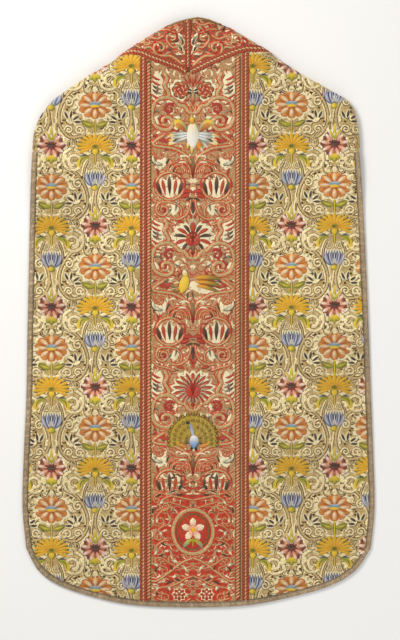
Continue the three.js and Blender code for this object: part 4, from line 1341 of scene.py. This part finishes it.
def unit_scrolls():
    """Half of a unit's bands: the side band that ends in a great arc and a curl, the heart at
    the middle, the bands round the bird, the ring of the medallion and what joins them."""
    stem = path([(-55, 34), (-49, 22), (-54, 10), (-46, -4), (-48, -12)])
    arc = path([(0, -43), (-9, -40), (-15, -30), (-27, -27), (-37, -17), (-52, -13), (-67, -18),
                (-76, -32), (-78, -50), (-70, -68), (-56, -74)])
    lower = path([(-54, -84), (-70, -94), (-76, -102), (-62, -106), (-44, -108), (-26, -114),
                  (-10, -126), (-3, -140)])
    return join([
        red_band(stem, 8.0), red_band(curl(arc, 15, 1.15, 1, 0.3), 8.0),
        red_band(lower, 6.5), nested_arcs(-26, -153), red_band(oval(-44, -181, 54, 52), 5.6),
        red_lines(
            ([(0, -26), (-6, -30), (-3, -38), (0, -42)], 4.5),
            ([(-76, -206), (-66, -212), (-50, -211), (-34, -214), (-22, -224), (-24, -240)], 5.0),
            ([(-4, -204), (-6, -220), (-13, -236), (-28, -244), (-44, -242)], 5.2),
            ([(-78, -236), (-66, -246), (-50, -250), (-34, -256)], 5.0)),
        red_band(spiral(-57, -226, 15, 1.5, 90, 1), 5.6),
        red_hooks(([(-78, -112), (-74, -122), (-66, -128)], 7, 0.8, 1, 4.0)),
    ])


def unit_leaves():
    """Half of a unit's silk: feathers, red curls, dark leaves, the medallion's tulip, the crown
    over its bell and the leaves beside it."""
    foot_x = np.array([-60, -44, -28])
    return join([
        feathers(-75, 4),
        pads([-48, -40, -66, -28, -30, -68], [-28, -58, -64, -200, -214, -150],
             [60, 30, 120, 100, 250, 60], [20, 18, 18, 20, 24, 30], [12, 10, 9, 12, 15, 20], 0.6,
             IVORY, blunt=0.4),
        red_curl(spiral(-45, -35, 11, 1.25, 30, 1), 6.5),
        red_curl(spiral(-55, -56, 10, 1.1, 90, 1), 4.6),
        pads([-62, -60, -36], [-38, -44, -50], [200, 250, 320], [14, 14, 12], 4.2, 1.6, SAGE, DARK,
             bend=50),
        outlined(IVORY, -24, -91, 208, 16, 9, DARK, BROWN, margin=2.0, bend=30),
        outlined(DEEP_RED, [-40, -52], [-90, -98], [220, 160], [16, 14], 8, COLUMN_RED, RED,
                 margin=0.9, height=1.8, bend=50),
        outlined(DARK, [-76, -74], [-122, -133], [-62, -20], [24, 20], 6, CREAM, SAGE, margin=1.3,
                 height=1.8, bend=[80, 70]),
        pads([-26, -28], [-127, -138], 0, [22, 18], 4.0, 1.9, CREAM, bend=-70),
        pads([-50, -46, -40], [-142, -150, -158], [70, 64, 58], 16, 3.6, 1.7, DARK, BROWN,
             bend=-30),
        outlined(DEEP_RED, 0, -166, 90, 40, 9, COLUMN_RED, COLUMN_TAN, margin=1.2, height=2.0,
                 full=1.4),
        pads([-18, -14], [-158, -166], [165, 178], [22, 16], 4.4, 2.0, COLUMN_RED, DEEP_RED,
             bend=-30),
        pads(-44, -206, [68, 90, 112], 45, [18, 22, 18], 0.6, IVORY, blunt=0.4),
        outlined(BROWN, foot_x, -198, [112, 92, 70], [29, 36, 29], 8.0, DARK, BROWN, margin=0.7,
                 height=2.0, full=1.3),
        outlined(DEEP_RED, foot_x[:2] + 8, -199, [102, 82], 31, 7.0, COLUMN_RED, margin=0.8,
                 full=1.4),
        outlined(DEEP_RED, [-66, -22], -192, [100, 80], 27, 6.5, COLUMN_RED, margin=0.8,
                 bend=[-50, 50]),
        outlined(DEEP_RED, [0, -6], [-192, -197], [183, 205], [22, 18], 8, COLUMN_RED, RED,
                 height=2.2, bend=35),
        pads([0, 0], [-204, -210], [200, 268], [15, 24], [4.5, 6], 2.3, DARK, BROWN, bend=[30, 0]),
        outlined(IVORY, [-32, -40], [-210, -224], [262, 240], [20, 14], 5, DARK, SAGE, margin=1.4,
                 height=1.6, bend=[-40, 50]),
        outlined(DEEP_RED, [-2, -16], [-244, -252], [120, 170], [14, 16], 5, COLUMN_RED,
                 margin=0.7, height=1.7, bend=50),
        red_curl(spiral(-57, -226, 7.5, 1.2, 90, 1), 4.0),
        pads([-20, -66, -70, -30, -66], [-64, -84, -8, -78, -165], [240, 200, 80, 160, 100],
             [18, 12, 18, 16, 20], 5, 1.5, COLUMN_RED, DEEP_RED, bend=30),
    ])


# %% [markdown]
# ## Flowers, birds and the cartouche
#
# Each motif is drawn round its own middle, or round its unit's top. Where both halves are alike,
# one is drawn and mirrored, and the birds are drawn whole. Padded shapes lie on each other as
# rows of stitches do: a pale one at the bottom shows as a rim, and the last ones lie highest.

# %% The great flowers, the birds and the cartouche
def twin_roses():
    """Half of the first unit's flower: a scalloped rose of red silk with dark edges and pale
    swirls in it, and the spray between it and its mirror image."""
    x, y = -23.0, 1.0
    angles = wheel(7, 20)
    return join([
        pads(x, y, wheel(9), 22, 16, 0.6, IVORY, full=1.6, blunt=0.5),
        outlined(DARK, *around(angles, 3, x, y), angles, 13.5, 11.0, COLUMN_RED, BURNT, margin=2.0,
                 height=2.0, full=1.5, blunt=0.5),
        pads(*around(angles, 9, x, y), angles + 80, 9.5, 2.3, 2.9, CREAM, COLUMN_TAN, bend=90),
        pads(x - 5, y, 0, 10, 10, 2.5, COLUMN_RED, DEEP_RED, blunt=0.5),
        pads(*around(angles[::2], 3, x, y), angles[::2] + 90, 6, 1.8, 3.1, CREAM, bend=90),
        outlined(DEEP_RED, [-1, -5, -9], [8, 8, 10], [94, 112, 134], [30, 26, 20], 6.5, COLUMN_RED,
                 COLUMN_TAN, margin=0.9, height=2.0, full=1.3),
        outlined(BROWN, [0, -5], [-3, -6], [268, 240], [24, 17], 7, COLUMN_TAN, COLUMN_RED,
                 height=2.2),
        pads([-2, -3], [0, -3], [160, 200], 8, 4, 2.4, DARK),
    ])


def great_palmette():
    """Half of the second unit's flower: red and dark petals in turn on a pale star, round a red
    dome."""
    angles = np.array([90, 126, 150, 174, 200, 230])
    reach = np.array([20, 20, 24, 27, 26, 20])
    x, y = around(angles, 11, 0, -4)
    return join([
        pads(0, -4, angles, reach + 19, 18, 0.6, IVORY, full=1.7, blunt=0.5),
        outlined(BROWN, x[1::2], y[1::2], angles[1::2], reach[1::2], 7.0, DARK, BROWN, margin=0.7,
                 height=1.8, full=1.2, bend=45),
        outlined(DEEP_RED, x[::2], y[::2], angles[::2], reach[::2], 7.5, COLUMN_RED, margin=0.8,
                 full=1.2, bend=40),
        pads(0, -17, [90, 118, 150], [28, 24, 16], [20, 15, 11], 2.4, RED, COLUMN_RED, blunt=0.5),
        pads([-3, -8, -4], [0, -4, -9], 90, 3.4, 3.2, 3.2, COLUMN_TAN),
        outlined(DARK, [0, -6], [-17, -18], [270, 238], [18, 16], 6.5, COLUMN_TAN, COLUMN_RED,
                 height=2.0),
    ])


def great_aster():
    """Half of the last unit's flower: narrow red and dark petals all round a red dome, with
    cream threads between them, on a pale disc, and a stalk below."""
    angles = wheel(10, 92, 176)
    reach = 32 + 6 * np.abs(np.cos(np.radians(angles)))
    return join([
        pads(0, -4, angles, reach + 5, 15, 0.6, IVORY, full=1.8, blunt=0.5),
        outlined(DARK, *around(angles, 6, 0, -4), angles, reach - 6, 5.6, COLUMN_RED, margin=1.6,
                 full=1.5),
        pads(*around(angles, 12, 0, -4), angles + 9, reach - 15, 1.8, 2.1, CREAM, COLUMN_TAN),
        pads(0, -16, [90, 118, 150], [24, 21, 15], [18, 14, 10], 2.6, RED, COLUMN_RED, blunt=0.5),
        outlined(DARK, [0, -4], [-16, -18], [270, 236], [20, 18], 6, COLUMN_TAN, COLUMN_RED,
                 height=2.2),
    ])


def white_bird():
    """A flying bird seen from above: a pale body, four wings of shaded silk and a tail."""
    parts = []
    for s in (-1, 1):
        parts += [
            pads([s * 8, s * 8], [-76, -84], [90 - s * 62, 90 - s * 104], [44, 46], 22, 0.6, IVORY,
                 full=1.3, blunt=0.5),
            outlined(OLIVE, s * 9, -79, 90 - s * 50, 37, 19, SAGE, YELLOW, height=2.4, full=1.4,
                     bend=-s * 14),
            pads(s * 12, -78, 90 - s * 53, 29, 11.5, 3.1, BURNT, ORANGE, full=1.3, bend=-s * 14),
            outlined(TEAL, [s * 8] * 3, [-80, -84, -88], [90 - s * 97, 90 - s * 103, 90 - s * 109],
                     [36, 36, 32], 6.0, WHITE, SAGE, height=2.3, full=1.2),
            pads([s * 33] * 3, [-83, -91, -98], [90 - s * 100, 90 - s * 106, 90 - s * 112], 15, 5,
                 2.8, CREAM, YELLOW),
        ]
    body = join([
        outlined(SAGE, 0, -110, 91, 52, 25, WHITE, CREAM, height=3.4, full=0.85, blunt=0.5),
        outlined(BROWN, -1, -66, 96, 18, 11, GOLDEN, YELLOW, margin=0.8, height=3.9),
    ])
    tail = join([
        outlined(TEAL, [10, 14], [-94, -92], [290, 310], [24, 22], 6, SAGE, CREAM, height=2.3),
        outlined(BURNT, 7, -92, 292, 22, 12, ORANGE, GOLDEN, margin=0.9, height=3.0),
        outlined(BROWN, [-8, -2], [-94, -98], [262, 270], [17, 22], 7, CREAM, YELLOW, margin=0.7,
                 height=2.7),
    ])
    return join([*parts, tail, body])


def yellow_bird():
    """A bird that looks to the left: a bright breast, and long gold and brown wings to the
    right."""
    return join([
        pads(-8, -92, [-4, -14], 68, [24, 22], 0.6, IVORY, full=0.9, blunt=0.4),
        outlined(BURNT, [2, 4, 6], [-80, -87, -94], [-2, -10, -16], [52, 54, 46], [10, 9, 8],
                 GOLDEN, OLIVE, margin=1.1, height=2.4, full=0.9, bend=-24),
        pads([6, 8], [-83, -90], [-6, -13], 44, 3.0, 2.9, BURNT, BROWN, bend=-24),
        outlined(BROWN, -22, -108, 74, 36, 21, YELLOW, margin=1.2, height=3.0, blunt=0.5),
        outlined(BROWN, -13, -80, 104, 17, 12, YELLOW, CREAM, height=3.3, blunt=0.5),
        pads(-20, -68, 196, 8, 4, 3.0, BURNT),
        outlined(DARK, [-26, -24], [-92, -99], [196, 208], [16, 14], 8, ORANGE, OLIVE, margin=0.9,
                 height=2.6),
        pads([-10, -2], [-106, -104], [268, 280], 15, 3, 2.4, BROWN),
    ])


def peacock():
    """A peacock with its tail spread behind it: olive and gold feathers in four rows, a blue
    neck, a pale breast and dark feet. Ringed eyes lie on the rows, clear of the neck."""
    fan, eyes = [], []
    for count, reach, height, spread in ((19, 61, 2.0, 196), (15, 49, 2.3, 190), (11, 37, 2.6, 180),
                                         (7, 25, 2.9, 160)):
        angles = wheel(count, 90 - spread / 2, spread)
        tall = reach * (0.86 + 0.12 * np.abs(np.sin(np.radians(angles))))
        fan.append(outlined(OLIVE, 0, -102, angles, tall, 10.5, OLD_GOLD, PEACOCK_GOLD, margin=0.7,
                            height=height, full=2.4, blunt=0.5))
        x, y = around(angles, tall - 7.5, 0, -102)
        clear = np.hypot(x / 8, (y + 92) / 30) > 1
        eyes.append(np.column_stack([x, y])[clear])
    x, y = np.concatenate(eyes).T
    body = join([
        outlined(BURNT, [-12, 12], [-112, -112], [150, 30], 26, 9, ORANGE, GOLDEN, margin=0.8,
                 height=2.5, bend=[-30, 30]),
        *(pads(x - size / 2, y, 0, size, size, height, colour, blunt=0.5)
          for size, height, colour in ((7.4, 3.5, SEPIA), (4.8, 4.3, YELLOW), (2.8, 5.2, DARK))),
        pads([-8] * 4 + [12] * 4, [-92, -96, -100, -104] * 2, [165, 172, 180, 188, 15, 8, 0, -8],
             8, 2.0, 3.0, DARK),
        outlined(NAVY, 2, -114, 90, 27, 20, SKY, WHITE, height=3.6, blunt=0.5),
        outlined(NAVY, 1, -93, 103, 27, 7.0, PALE_BLUE, SKY, height=4.0, blunt=0.4),
        outlined(DARK, -7, -69, 130, 9, 7.5, NAVY, margin=0.6, height=4.2),
        pads([-2, 5], -111, [262, 278], 8, 5, 2.8, DARK),
    ])
    return join([*fan, body])


def cartouche():
    """An upright oval of double tan bands over red silk, with a five-petalled flower on it, two
    leaves, and mirrored foliage under it."""
    ground = pads(0, -44, 90, 88, 78, 1.0, RED, COLUMN_RED, blunt=0.45)
    frame_bands = join([red_band(oval(0, 0, 76, 84), 8.0),
                        couched(oval(0, 0, 60, 68), 4.0, OLD_GOLD, DARK, 1.6, 0.9)])
    flower = join([
        outlined(DARK, 0, 4, wheel(5, 90), 22, 15, PINK, CREAM, margin=1.2, height=2.4, full=1.5,
                 blunt=0.5),
        pads(-5, 4, 0, 10, 10, 3.2, GOLDEN, YELLOW, blunt=0.5),
        outlined(OLIVE, 0, -14, [222, 318], 26, 9, LIME, SAGE, height=2.0, bend=[40, -40]),
        outlined(OLIVE, 0, -30, 90, 22, 3, LIME, margin=0.5, height=1.6),
    ])
    return join([ground, frame_bands, flower])


def foot():
    """Half of the scrolls round the cartouche and of the foliage under it, on red."""
    x, y = np.meshgrid(np.arange(-72, -5, 12.0), np.arange(-138, 78, 12.0))
    x = x + 6 * (np.arange(len(y))[:, None] % 2)
    return join([
        pads(x.ravel() - 8, y.ravel(), 0, 16, 13, 0.3, COLUMN_RED, RED, blunt=0.5),
        red_hooks(([(0, 98), (-20, 92), (-40, 94)], 12, 1.0, 1, 4.6),
                  ([(0, 60), (-20, 64), (-42, 68), (-58, 60)], 12, 1.2, 1, 4.6),
                  ([(-42, 46), (-56, 42), (-68, 30)], 10, 1.1, 1, 4.4),
                  ([(-46, 14), (-58, 10), (-70, 0)], 10, 1.1, 1, 4.4),
                  ([(-44, -16), (-58, -18), (-70, -28)], 10, 1.1, 1, 4.4),
                  ([(0, -50), (-20, -58), (-44, -76), (-66, -92)], 12, 1.0, -1, 5.6),
                  ([(0, -64), (-20, -70), (-40, -62), (-58, -50)], 10, 1.1, 1, 4.4),
                  ([(0, -84), (-16, -90), (-38, -102), (-62, -106)], 10, 1.0, 1, 4.6),
                  ([(-76, 88), (-66, 96), (-54, 98)], 9, 1.1, -1, 4.4),
                  ([(-2, 84), (-14, 76), (-26, 78)], 8, 1.0, -1, 4.2),
                  ([(-50, 70), (-62, 74), (-72, 68)], 8, 1.0, 1, 4.2),
                  ([(-4, -106), (-16, -100), (-32, -94)], 8, 1.0, -1, 4.2),
                  ([(-74, -50), (-66, -62), (-54, -66)], 8, 1.1, -1, 4.2),
                  ([(-74, -106), (-64, -116), (-52, -118)], 7, 1.0, -1, 4.2)),
        red_lines(([(-4, -126), (-24, -138), (-44, -134), (-70, -126)], 4.6),
                  ([(-6, 44), (-30, 52), (-50, 56), (-70, 50)], 4.4)),
        outlined(IVORY, -26, -119, wheel(8), 13, 7, BROWN, COLUMN_RED, margin=1.6, full=1.5,
                 blunt=0.5),
        outlined(DARK, -26, -119, wheel(5, 90), 8, 5.0, COLUMN_RED, CREAM, margin=0.8, height=2.8),
        outlined(IVORY, [-12, -30, -18], [82, 78, 100], [170, 200, 150], [18, 18, 20], 4.4, DARK,
                 BROWN, margin=1.4, height=1.8, bend=40),
        pads([-12, -30, -52, -64, -70, -60, -74, -54, -66, -12, -40, -70, -44, -16, -58, -30],
             [76, 88, 84, 52, 16, -8, -44, -36, -66, -74, -86, -112, -112, -100, -136, -58],
             [150, 30, 100, 60, 90, 120, 70, 10, 160, 140, 30, 80, 120, 200, 10, 170],
             [14, 15, 13, 14, 13, 12, 15, 12, 13, 16, 12, 14, 12, 12, 15, 13], 5.4, 1.9, CREAM,
             SAGE, bend=60),
        pads([-20, -44, -60, -76, -50, -66, -72, -22, -50, -36, -66],
             [70, 100, 72, 34, -26, -48, -78, -92, -100, -74, -124],
             [170, 10, 200, 80, 150, 20, 60, 160, 30, 120, 100], 14, 4.0, 1.9, DARK, BROWN,
             bend=-50),
    ])


def fill_of_red(low, high, count, shares):
    """Seeded commas of tan, red, ivory and brown that fill the gaps of the field. The shares
    are where tan, red and ivory end."""
    chance = np.random.default_rng(5)
    x, y, angle, bend = strewn(chance, count, (-FIELD_HALF, low), (0, high), 110)
    pick = chance.uniform(0, 1, count)
    gold = pick < shares[0]
    commas = [outlined(COLUMN_RED, x[gold], y[gold], angle[gold], 17, 5.6, COLUMN_TAN, margin=1.5,
                       height=0.8, bend=bend[gold], full=0.8, coarse=True)]
    for least, most, colour in zip(shares, (*shares[1:], 1), (COLUMN_RED, IVORY, BROWN)):
        some = (pick >= least) & (pick < most)
        commas.append(pads(x[some], y[some], angle[some], 13, 5.0, 0.5, colour, bend=bend[some],
                           coarse=True))
    return both(join(commas))


# %% Sew the column
def column_margin(x, y):
    """Distance of points inside the column's field."""
    aside = FIELD_HALF - np.abs(x - ORPHREY_MIDDLE)
    below = np.minimum(y - hem_y(x) - ABOVE_HEM, seam_y(x) - YOKE_BRAID_WIDTH / 2 - y)
    return np.minimum(aside, below)


CARTOUCHE_Y = -416.0
FOOT_TOP = CARTOUCHE_Y + 78


def above_foot(x, y):
    """The column's margin above the foliage round the cartouche."""
    return np.minimum(column_margin(x, y), y - FOOT_TOP)


units = ((twin_roses, white_bird), (great_palmette, yellow_bird), (great_aster, peacock))
silk = join([shaped(join([both(unit_leaves()), both(flower()), bird()]), ORPHREY_MIDDLE, top)
             for top, (flower, bird) in zip(UNIT_TOPS, units)])
gold = join([shaped(both(unit_scrolls()), ORPHREY_MIDDLE, top) for top in UNIT_TOPS])
scrolls = shaped(join([both(foot()), cartouche()]), ORPHREY_MIDDLE, CARTOUCHE_Y)
commas = shaped(fill_of_red(-560, 490, 1300, (0.36, 0.6, 0.88)), ORPHREY_MIDDLE)
back_column([
    sew("column_silk", clipped(silk, above_foot), column_margin, *SILK),
    sew("column_gold", clipped(gold, above_foot), column_margin, *GOLD),
    sew("column_foot", scrolls, column_margin, *GOLD),
    sew("column_fill", commas, column_margin, *SILK),
])


# %% [markdown]
# ## The yoke's embroidery
#
# The two halves of the yoke mirror each other across the braid at the back of the neck: tan
# bands edged with red, pale leaf crescents beside the middle, and red curls towards the
# shoulders. It follows the cloth round the fold.

# %% Sew the yoke
def yoke_margin(x, y):
    """Distance inside the yoke's border: above its seam, clear of the middle braid, and on the
    fold short of the neck binding or of the slanting seam."""
    aside = np.abs(x - YOKE_MIDDLE) - BESIDE_BRAID
    free = np.minimum(y - seam_y(x) - YOKE_BRAID_WIDTH / 2, aside)
    _, _, radius, share, beyond, _ = nearest_fold(x, y)
    turned = np.clip(beyond / radius, 0, math.pi)
    slant = YOKE_SLANT * turned / math.pi - BESIDE_YOKE_BRAID
    left = (share - fold_share(YOKE_START["left"])) * TOP_LENGTH + slant
    right = (fold_share(YOKE_START["right"]) - share) * TOP_LENGTH + slant
    neck = (share > NECK_SHARE["left"]) & (share < NECK_SHARE["right"])
    end = np.where(neck, NECK_CURL * radius - NECK_BRAID_WIDTH, 0.96 * math.pi * radius) - beyond
    round_it = np.minimum(np.minimum(left, right), np.minimum(end, aside))
    return np.where(beyond > 0, round_it, free)


def yoke_half():
    """The right half of the yoke's pattern, from the middle seam outwards."""
    return join([
        red_hooks(([(8, -20), (20, -8), (34, 0), (50, 0)], 15, 1.2, 1, 6.0),
                  ([(10, 40), (14, 22), (28, 16), (38, 26)], 11, 1.1, 1, 5.4),
                  ([(44, 40), (58, 32), (70, 36)], 11, 1.0, -1, 5.2),
                  ([(62, 4), (80, 8), (96, 18)], 14, 1.1, 1, 5.6),
                  ([(96, 40), (110, 36), (124, 22)], 12, 1.0, 1, 5.2)),
        red_lines(([(12, 66), (26, 58), (42, 62), (60, 60)], 5.2),
                  ([(8, 54), (22, 44), (40, 50), (56, 50)], 4.4),
                  ([(8, 6), (20, 10), (30, 8)], 4.0), ([(60, 22), (76, 24), (92, 30)], 4.4)),
        outlined(IVORY, [9, 11], [20, 8], [64, 52], [22, 20], 6, DARK, SAGE, margin=2.0,
                 height=2.0, bend=-50),
        outlined(COLUMN_RED, [24, 52, 84], [36, 16, 30], [20, 60, 100], 15, 4.5, CREAM, COLUMN_TAN,
                 margin=0.9, bend=50),
        outlined(COLUMN_TAN, 96, 10, 20, 26, 10, DARK, OLIVE, margin=1.4, bend=-30),
        red_curl(spiral(60, 18, 9, 1.1, 0, 1), 5.5), red_curl(spiral(26, 46, 8, 1.1, 90, -1), 5),
        red_curl(spiral(104, 26, 9, 1.1, 0, 1), 5.5), red_curl(spiral(84, 52, 8, 1.1, 0, 1), 5),
        pads([14, 36, 46, 74, 94, 110, 22, 64], [54, 10, 48, 22, 60, 50, 26, 8],
             [60, 20, 130, 60, 200, 340, 100, 200], 18, 5.5, 1.4, COLUMN_RED, DEEP_RED, bend=45),
        pads([18, 40, 66, 90, 50], [26, 34, 46, 12, 8], [0, 100, 60, 20, 80], 14, 4.2, 1.5, DARK,
             BROWN, bend=-40),
    ])


def half_margin(side):
    """A function for the yoke's margin on one side of its middle."""
    return lambda x, y: np.minimum(yoke_margin(x, y), SIGN[side] * (x - YOKE_MIDDLE))


yoke_work = shaped(both(yoke_half()), YOKE_MIDDLE, 486.0)
yoke_fill = shaped(fill_of_red(440, 600, 420, (0.2, 0.58, 0.76)), YOKE_MIDDLE, wide=1.7)
for side in SIGN:
    worked = sew(f"yoke_work_{side}", yoke_work, half_margin(side), *GOLD)
    filled = sew(f"yoke_fill_{side}", yoke_fill, half_margin(side), *SILK)
    back_yoke(side)


# %% [markdown]
# ## Borders and braids
#
# Beside the column's field runs a border of slanting stitches. The braid along the column and
# over the yoke is a red tape with a twisted gold and white cord between two red ones. A curve
# with a bevel would give round, plain cords. These are real twisted relief: the height of their
# surface follows a slanting wave, so they catch the light in beads.

# %% Hatched borders beside the column's braids
def hatched(x, width):
    """A dark border with slanting bars of satin stitch, red and tan in turn."""
    low, high = hem_y(x) + EDGE_BRAID_WIDTH, seam_y(x) - YOKE_BRAID_WIDTH / 2 - 2
    line = np.column_stack([np.full(300, x), np.linspace(low, high, 300)])
    y, foot_x = np.arange(low + 4, high - 4, 6.2), x - width * 0.42
    return join([
        band(line, width, 1.0, BROWN),
        pads(foot_x, y - 3, 36, width, 3.4, 1.6, COLUMN_RED, DEEP_RED, blunt=0.3),
        pads(foot_x, y, 36, width, 3.0, 1.6, TAN, COLUMN_TAN, blunt=0.3),
    ])


borders = join([hatched(ORPHREY_MIDDLE - FIELD_HALF - 4.5, 9.5),
                hatched(ORPHREY_MIDDLE + FIELD_HALF + 6.5, 11.5)])
sew("column_borders", borders, lambda x, y: np.full(len(x), 2 * FADE), *GOLD)


# %% Braid over a line
# Each cord's thread colour, then the colour between its strands; the red cords' darker red there is
# painted shade.
RED_CORD = (dye("#c8552c"), dye("#7c2416"))
GOLD_CORD = (dye("#f0d292"), dye("#96342a"))
TAPE_ACROSS = np.array([-1, -0.9, 0.9, 1, 0.9, -0.9, -1]) / 2
TAPE_HEIGHTS = SEAM_GAP + 0.7 * np.array([0.4, 1, 1, 0.4, 0, 0, 0.4])


def build_braid(place, line, width):
    """A braid laid on the back, in place of its solid: a red tape, whose closed section has six
    corners, with three twisted cords on it."""
    aside = directions(line)[1] * width * 0.3
    work = join([
        carried(line, run_along(line), width * TAPE_ACROSS, TAPE_HEIGHTS, DEEP_RED),
        cord(line + aside, width * 0.41, 0.85, 1.7, *RED_CORD, pitch=5.6, side=-1),
        cord(line - aside, width * 0.41, 0.85, 1.7, *RED_CORD, pitch=5.6),
        cord(line, width * 0.24, 1.2, 2.0, *GOLD_CORD, pitch=7.2, slant=1.6),
    ])
    obj = build(place.replace("braid", "cords"), lay_on_back(work.points), work.quads, work.uv,
                work.thread, CORDS)
    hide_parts(place)


for side, x in SEAMS.items():
    ends = (hem_y(x) + EDGE_BRAID_WIDTH - 2, seam_y(x) - YOKE_BRAID_WIDTH / 2 - 1)
    line = np.column_stack([np.full(260, x), np.linspace(*ends, 260)])
    build_braid(f"column_braid_{side}", line, COLUMN_BRAID_WIDTH)


# %% Braid over the yoke's seam, from the middle of the back round the fold
def yoke_line(side):
    """The seam's line: round the fold from its end, then down the V to the middle."""
    angles = np.linspace(0.88 * math.pi, 0, 14)
    start, out, radius = fold_at(np.array([yoke_share(side, a) for a in angles]))
    over = start + out * (radius * angles)[:, None]
    x = np.linspace(YOKE_START[side], YOKE_MIDDLE, 26)[2:]
    return smooth(np.concatenate([over, np.column_stack([x, seam_y(x)])])[::2], 120)


for side in SIGN:
    build_braid(f"yoke_braid_{side}", yoke_line(side), YOKE_BRAID_WIDTH)
middle_start, middle_out, middle_radius = (a[0] for a in fold_at(np.array([MIDDLE_SHARE])))
over = middle_start + middle_out * (middle_radius * NECK_CURL - NECK_BRAID_WIDTH)
line = np.array([(YOKE_MIDDLE, seam_y(YOKE_MIDDLE) + 9), middle_start, over])
build_braid("yoke_braid_middle", evenly(line, 60), COLUMN_BRAID_WIDTH - 1)


# %% [markdown]
# ## The galloon round the edge
#
# This woven metal ribbon is folded over the edge of the cloth and sewn down. It could be a flat
# strip that a modifier bends, but its course and its section are both known, so the section is
# carried along the outline. The stitches gather it a little: two sines of different length,
# added up, give uneven puckers.

# %% Galloon round the back's sides and hem
PUCKER = 0.7
GALLOON_DYE = dye("#b59c78")


def galloon(line, width):
    """A ribbon folded over an edge. Its section, as distance in from the outline and height
    above the right side, runs from under the cloth, round the edge, over the top and back.
    Small uneven waves, two sines along the edge, lift its inner part."""
    d = np.array([0.6, 0.0, -0.2, 0.1, 0.9, 2.2, 4.5, 7, width - 2, width - 0.5, width, width - 0.6])
    h = np.array([-CLOTH, -CLOTH + 0.2, -1, 0.6, 1.25, 1.5, 1.35, 1.35, 1.5, 1.3, 0.7, 0.2])
    run = run_along(line)
    wave = (np.sin(run / 1.7 + 1.5 * np.sin(run / 23)) + np.sin(run / 4.3 + 2 * np.sin(run / 41)))
    lift = PUCKER * np.clip(wave[:, None], -0.4, 2) * smoothstep(d, 0.5, 7) * (h > 0.5)
    inboard = np.maximum(d, EDGE_INSET)[None, :, None]
    under = line[:, None, :] + directions(line)[1][:, None, :] * inboard
    heights = lining_height(under[..., 0], under[..., 1]) + CLOTH + h + lift
    # Painted shade: the colour dims where the puckers sink and brightens where they rise. The ribbon's
    # inner 2.4 mm is half as bright.
    shade = (0.9 + 0.1 * wave)[:, None] * np.where(d > width - 2.4, 0.5, 1)
    return carried(line, run, d, heights, shade[..., None] * GALLOON_DYE)


edge = evenly(EDGE_LINE, int(run_along(EDGE_LINE)[-1] / 2.2))[2:-2]
work = galloon(edge, EDGE_BRAID_WIDTH)
obj = build("galloon_back", work.points * MM, work.quads[:, ::-1], work.uv, work.thread, GALLOON)
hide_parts("edge_braid_back")


# %% [markdown]
# ## Braids that hardly show
#
# The front's braids lie under the garment, and the neck bindings are only a few millimetres
# wide. Their solids already have the right form, so they are kept and get a ribbon finish. It
# reads Object coordinates, because a solid of the frame has no UV map.

# %% Finishes of the solids that are kept
PLAIN_BRAID = finish("plain_red_braid", WEAVE, {"Scale": 300.0}, 0.55, 1.2, 0.3, 0.5,
                     metallic=0.15, colour=RED_CORD[0])
PLAIN_GALLOON = finish("plain_galloon", WEAVE, {"Scale": 300.0}, 0.5, 1.25, 0.3, 0.46,
                       metallic=0.35, colour=dye("#998468"))
NECK_BINDING = finish("neck_binding", WEAVE, {"Scale": 340.0}, 0.55, 1.2, 0.25, 0.5,
                      metallic=0.2, colour=dye("#a07838"))
kept = {
    PLAIN_BRAID: ["front_column_braid_left", "front_column_braid_right",
                  "front_yoke_braid_left", "front_yoke_braid_right"],
    PLAIN_GALLOON: ["edge_braid_front"],
    NECK_BINDING: ["neck_binding_back", "neck_binding_left", "neck_binding_right"],
}
for material, names in kept.items():
    for name in names:
        bpy.data.objects[name].material_slots[0].material = material
print("solids kept:", sum(len(names) for names in kept.values()))

# %% [markdown]
# ## Camera, floor and light
#
# The photograph looks straight down on the laid garment, so the camera does too, from far enough
# above that the raised shoulder fold is seen at the same scale as the hem. A strong soft lamp at
# the upper left gives the relief its small shadows. Two weaker ones and an even white surround
# keep them pale, as in a studio with reflectors.

# %% Camera straight above, as in the photograph
VIEW_CENTRE = (0.00285, -0.01425)
VIEW_HEIGHT = 1.216
CAMERA_DISTANCE = 6.0
camera_data = bpy.data.cameras.new("camera")
camera_data.sensor_width = 36.0
camera_data.lens = camera_data.sensor_width * CAMERA_DISTANCE / VIEW_HEIGHT
camera = bpy.data.objects.new("camera", camera_data)
camera.location = (*VIEW_CENTRE, CAMERA_DISTANCE)
bpy.context.scene.collection.objects.link(camera)
bpy.context.scene.camera = camera
print("lens, mm:", round(camera_data.lens, 1))


# %% Floor and soft light
def lamp(name, location, power, size, colour=(1, 1, 1)):
    """A square soft light that looks at the garment's middle."""
    data = bpy.data.lights.new(name, "AREA")
    data.energy = power
    data.size = size
    data.color = colour
    obj = bpy.data.objects.new(name, data)
    obj.location = location
    away = -np.array(location)
    obj.rotation_euler = (math.acos(-away[2] / np.linalg.norm(away)), 0,
                          math.atan2(away[1], away[0]) - math.pi / 2)
    bpy.context.scene.collection.objects.link(obj)


bpy.ops.mesh.primitive_plane_add(size=8, location=(0, 0, -0.0004))
floor = bpy.context.object
floor.name = "floor"
floor_material = bpy.data.materials.new("pale_floor")
floor_material.use_nodes = True
floor_shader = floor_material.node_tree.nodes["Principled BSDF"]
floor_shader.inputs["Base Color"].default_value = (0.82, 0.81, 0.79, 1)
floor_shader.inputs["Roughness"].default_value = 0.9
floor.data.materials.append(floor_material)
lamp("key", (-1.5, 1.6, 1.9), 66, 1.1, (1, 0.98, 0.95))
lamp("fill", (2.0, -0.6, 2.4), 24, 2.2)
lamp("low", (0.4, -2.2, 1.6), 12, 1.6)
world = bpy.data.worlds.new("studio")
world.use_nodes = True
world.node_tree.nodes["Background"].inputs["Color"].default_value = (1, 1, 1, 1)
world.node_tree.nodes["Background"].inputs["Strength"].default_value = 0.42
bpy.context.scene.world = world
bpy.context.scene.view_settings.view_transform = "Standard"
print("lamps:", len(bpy.data.lights))
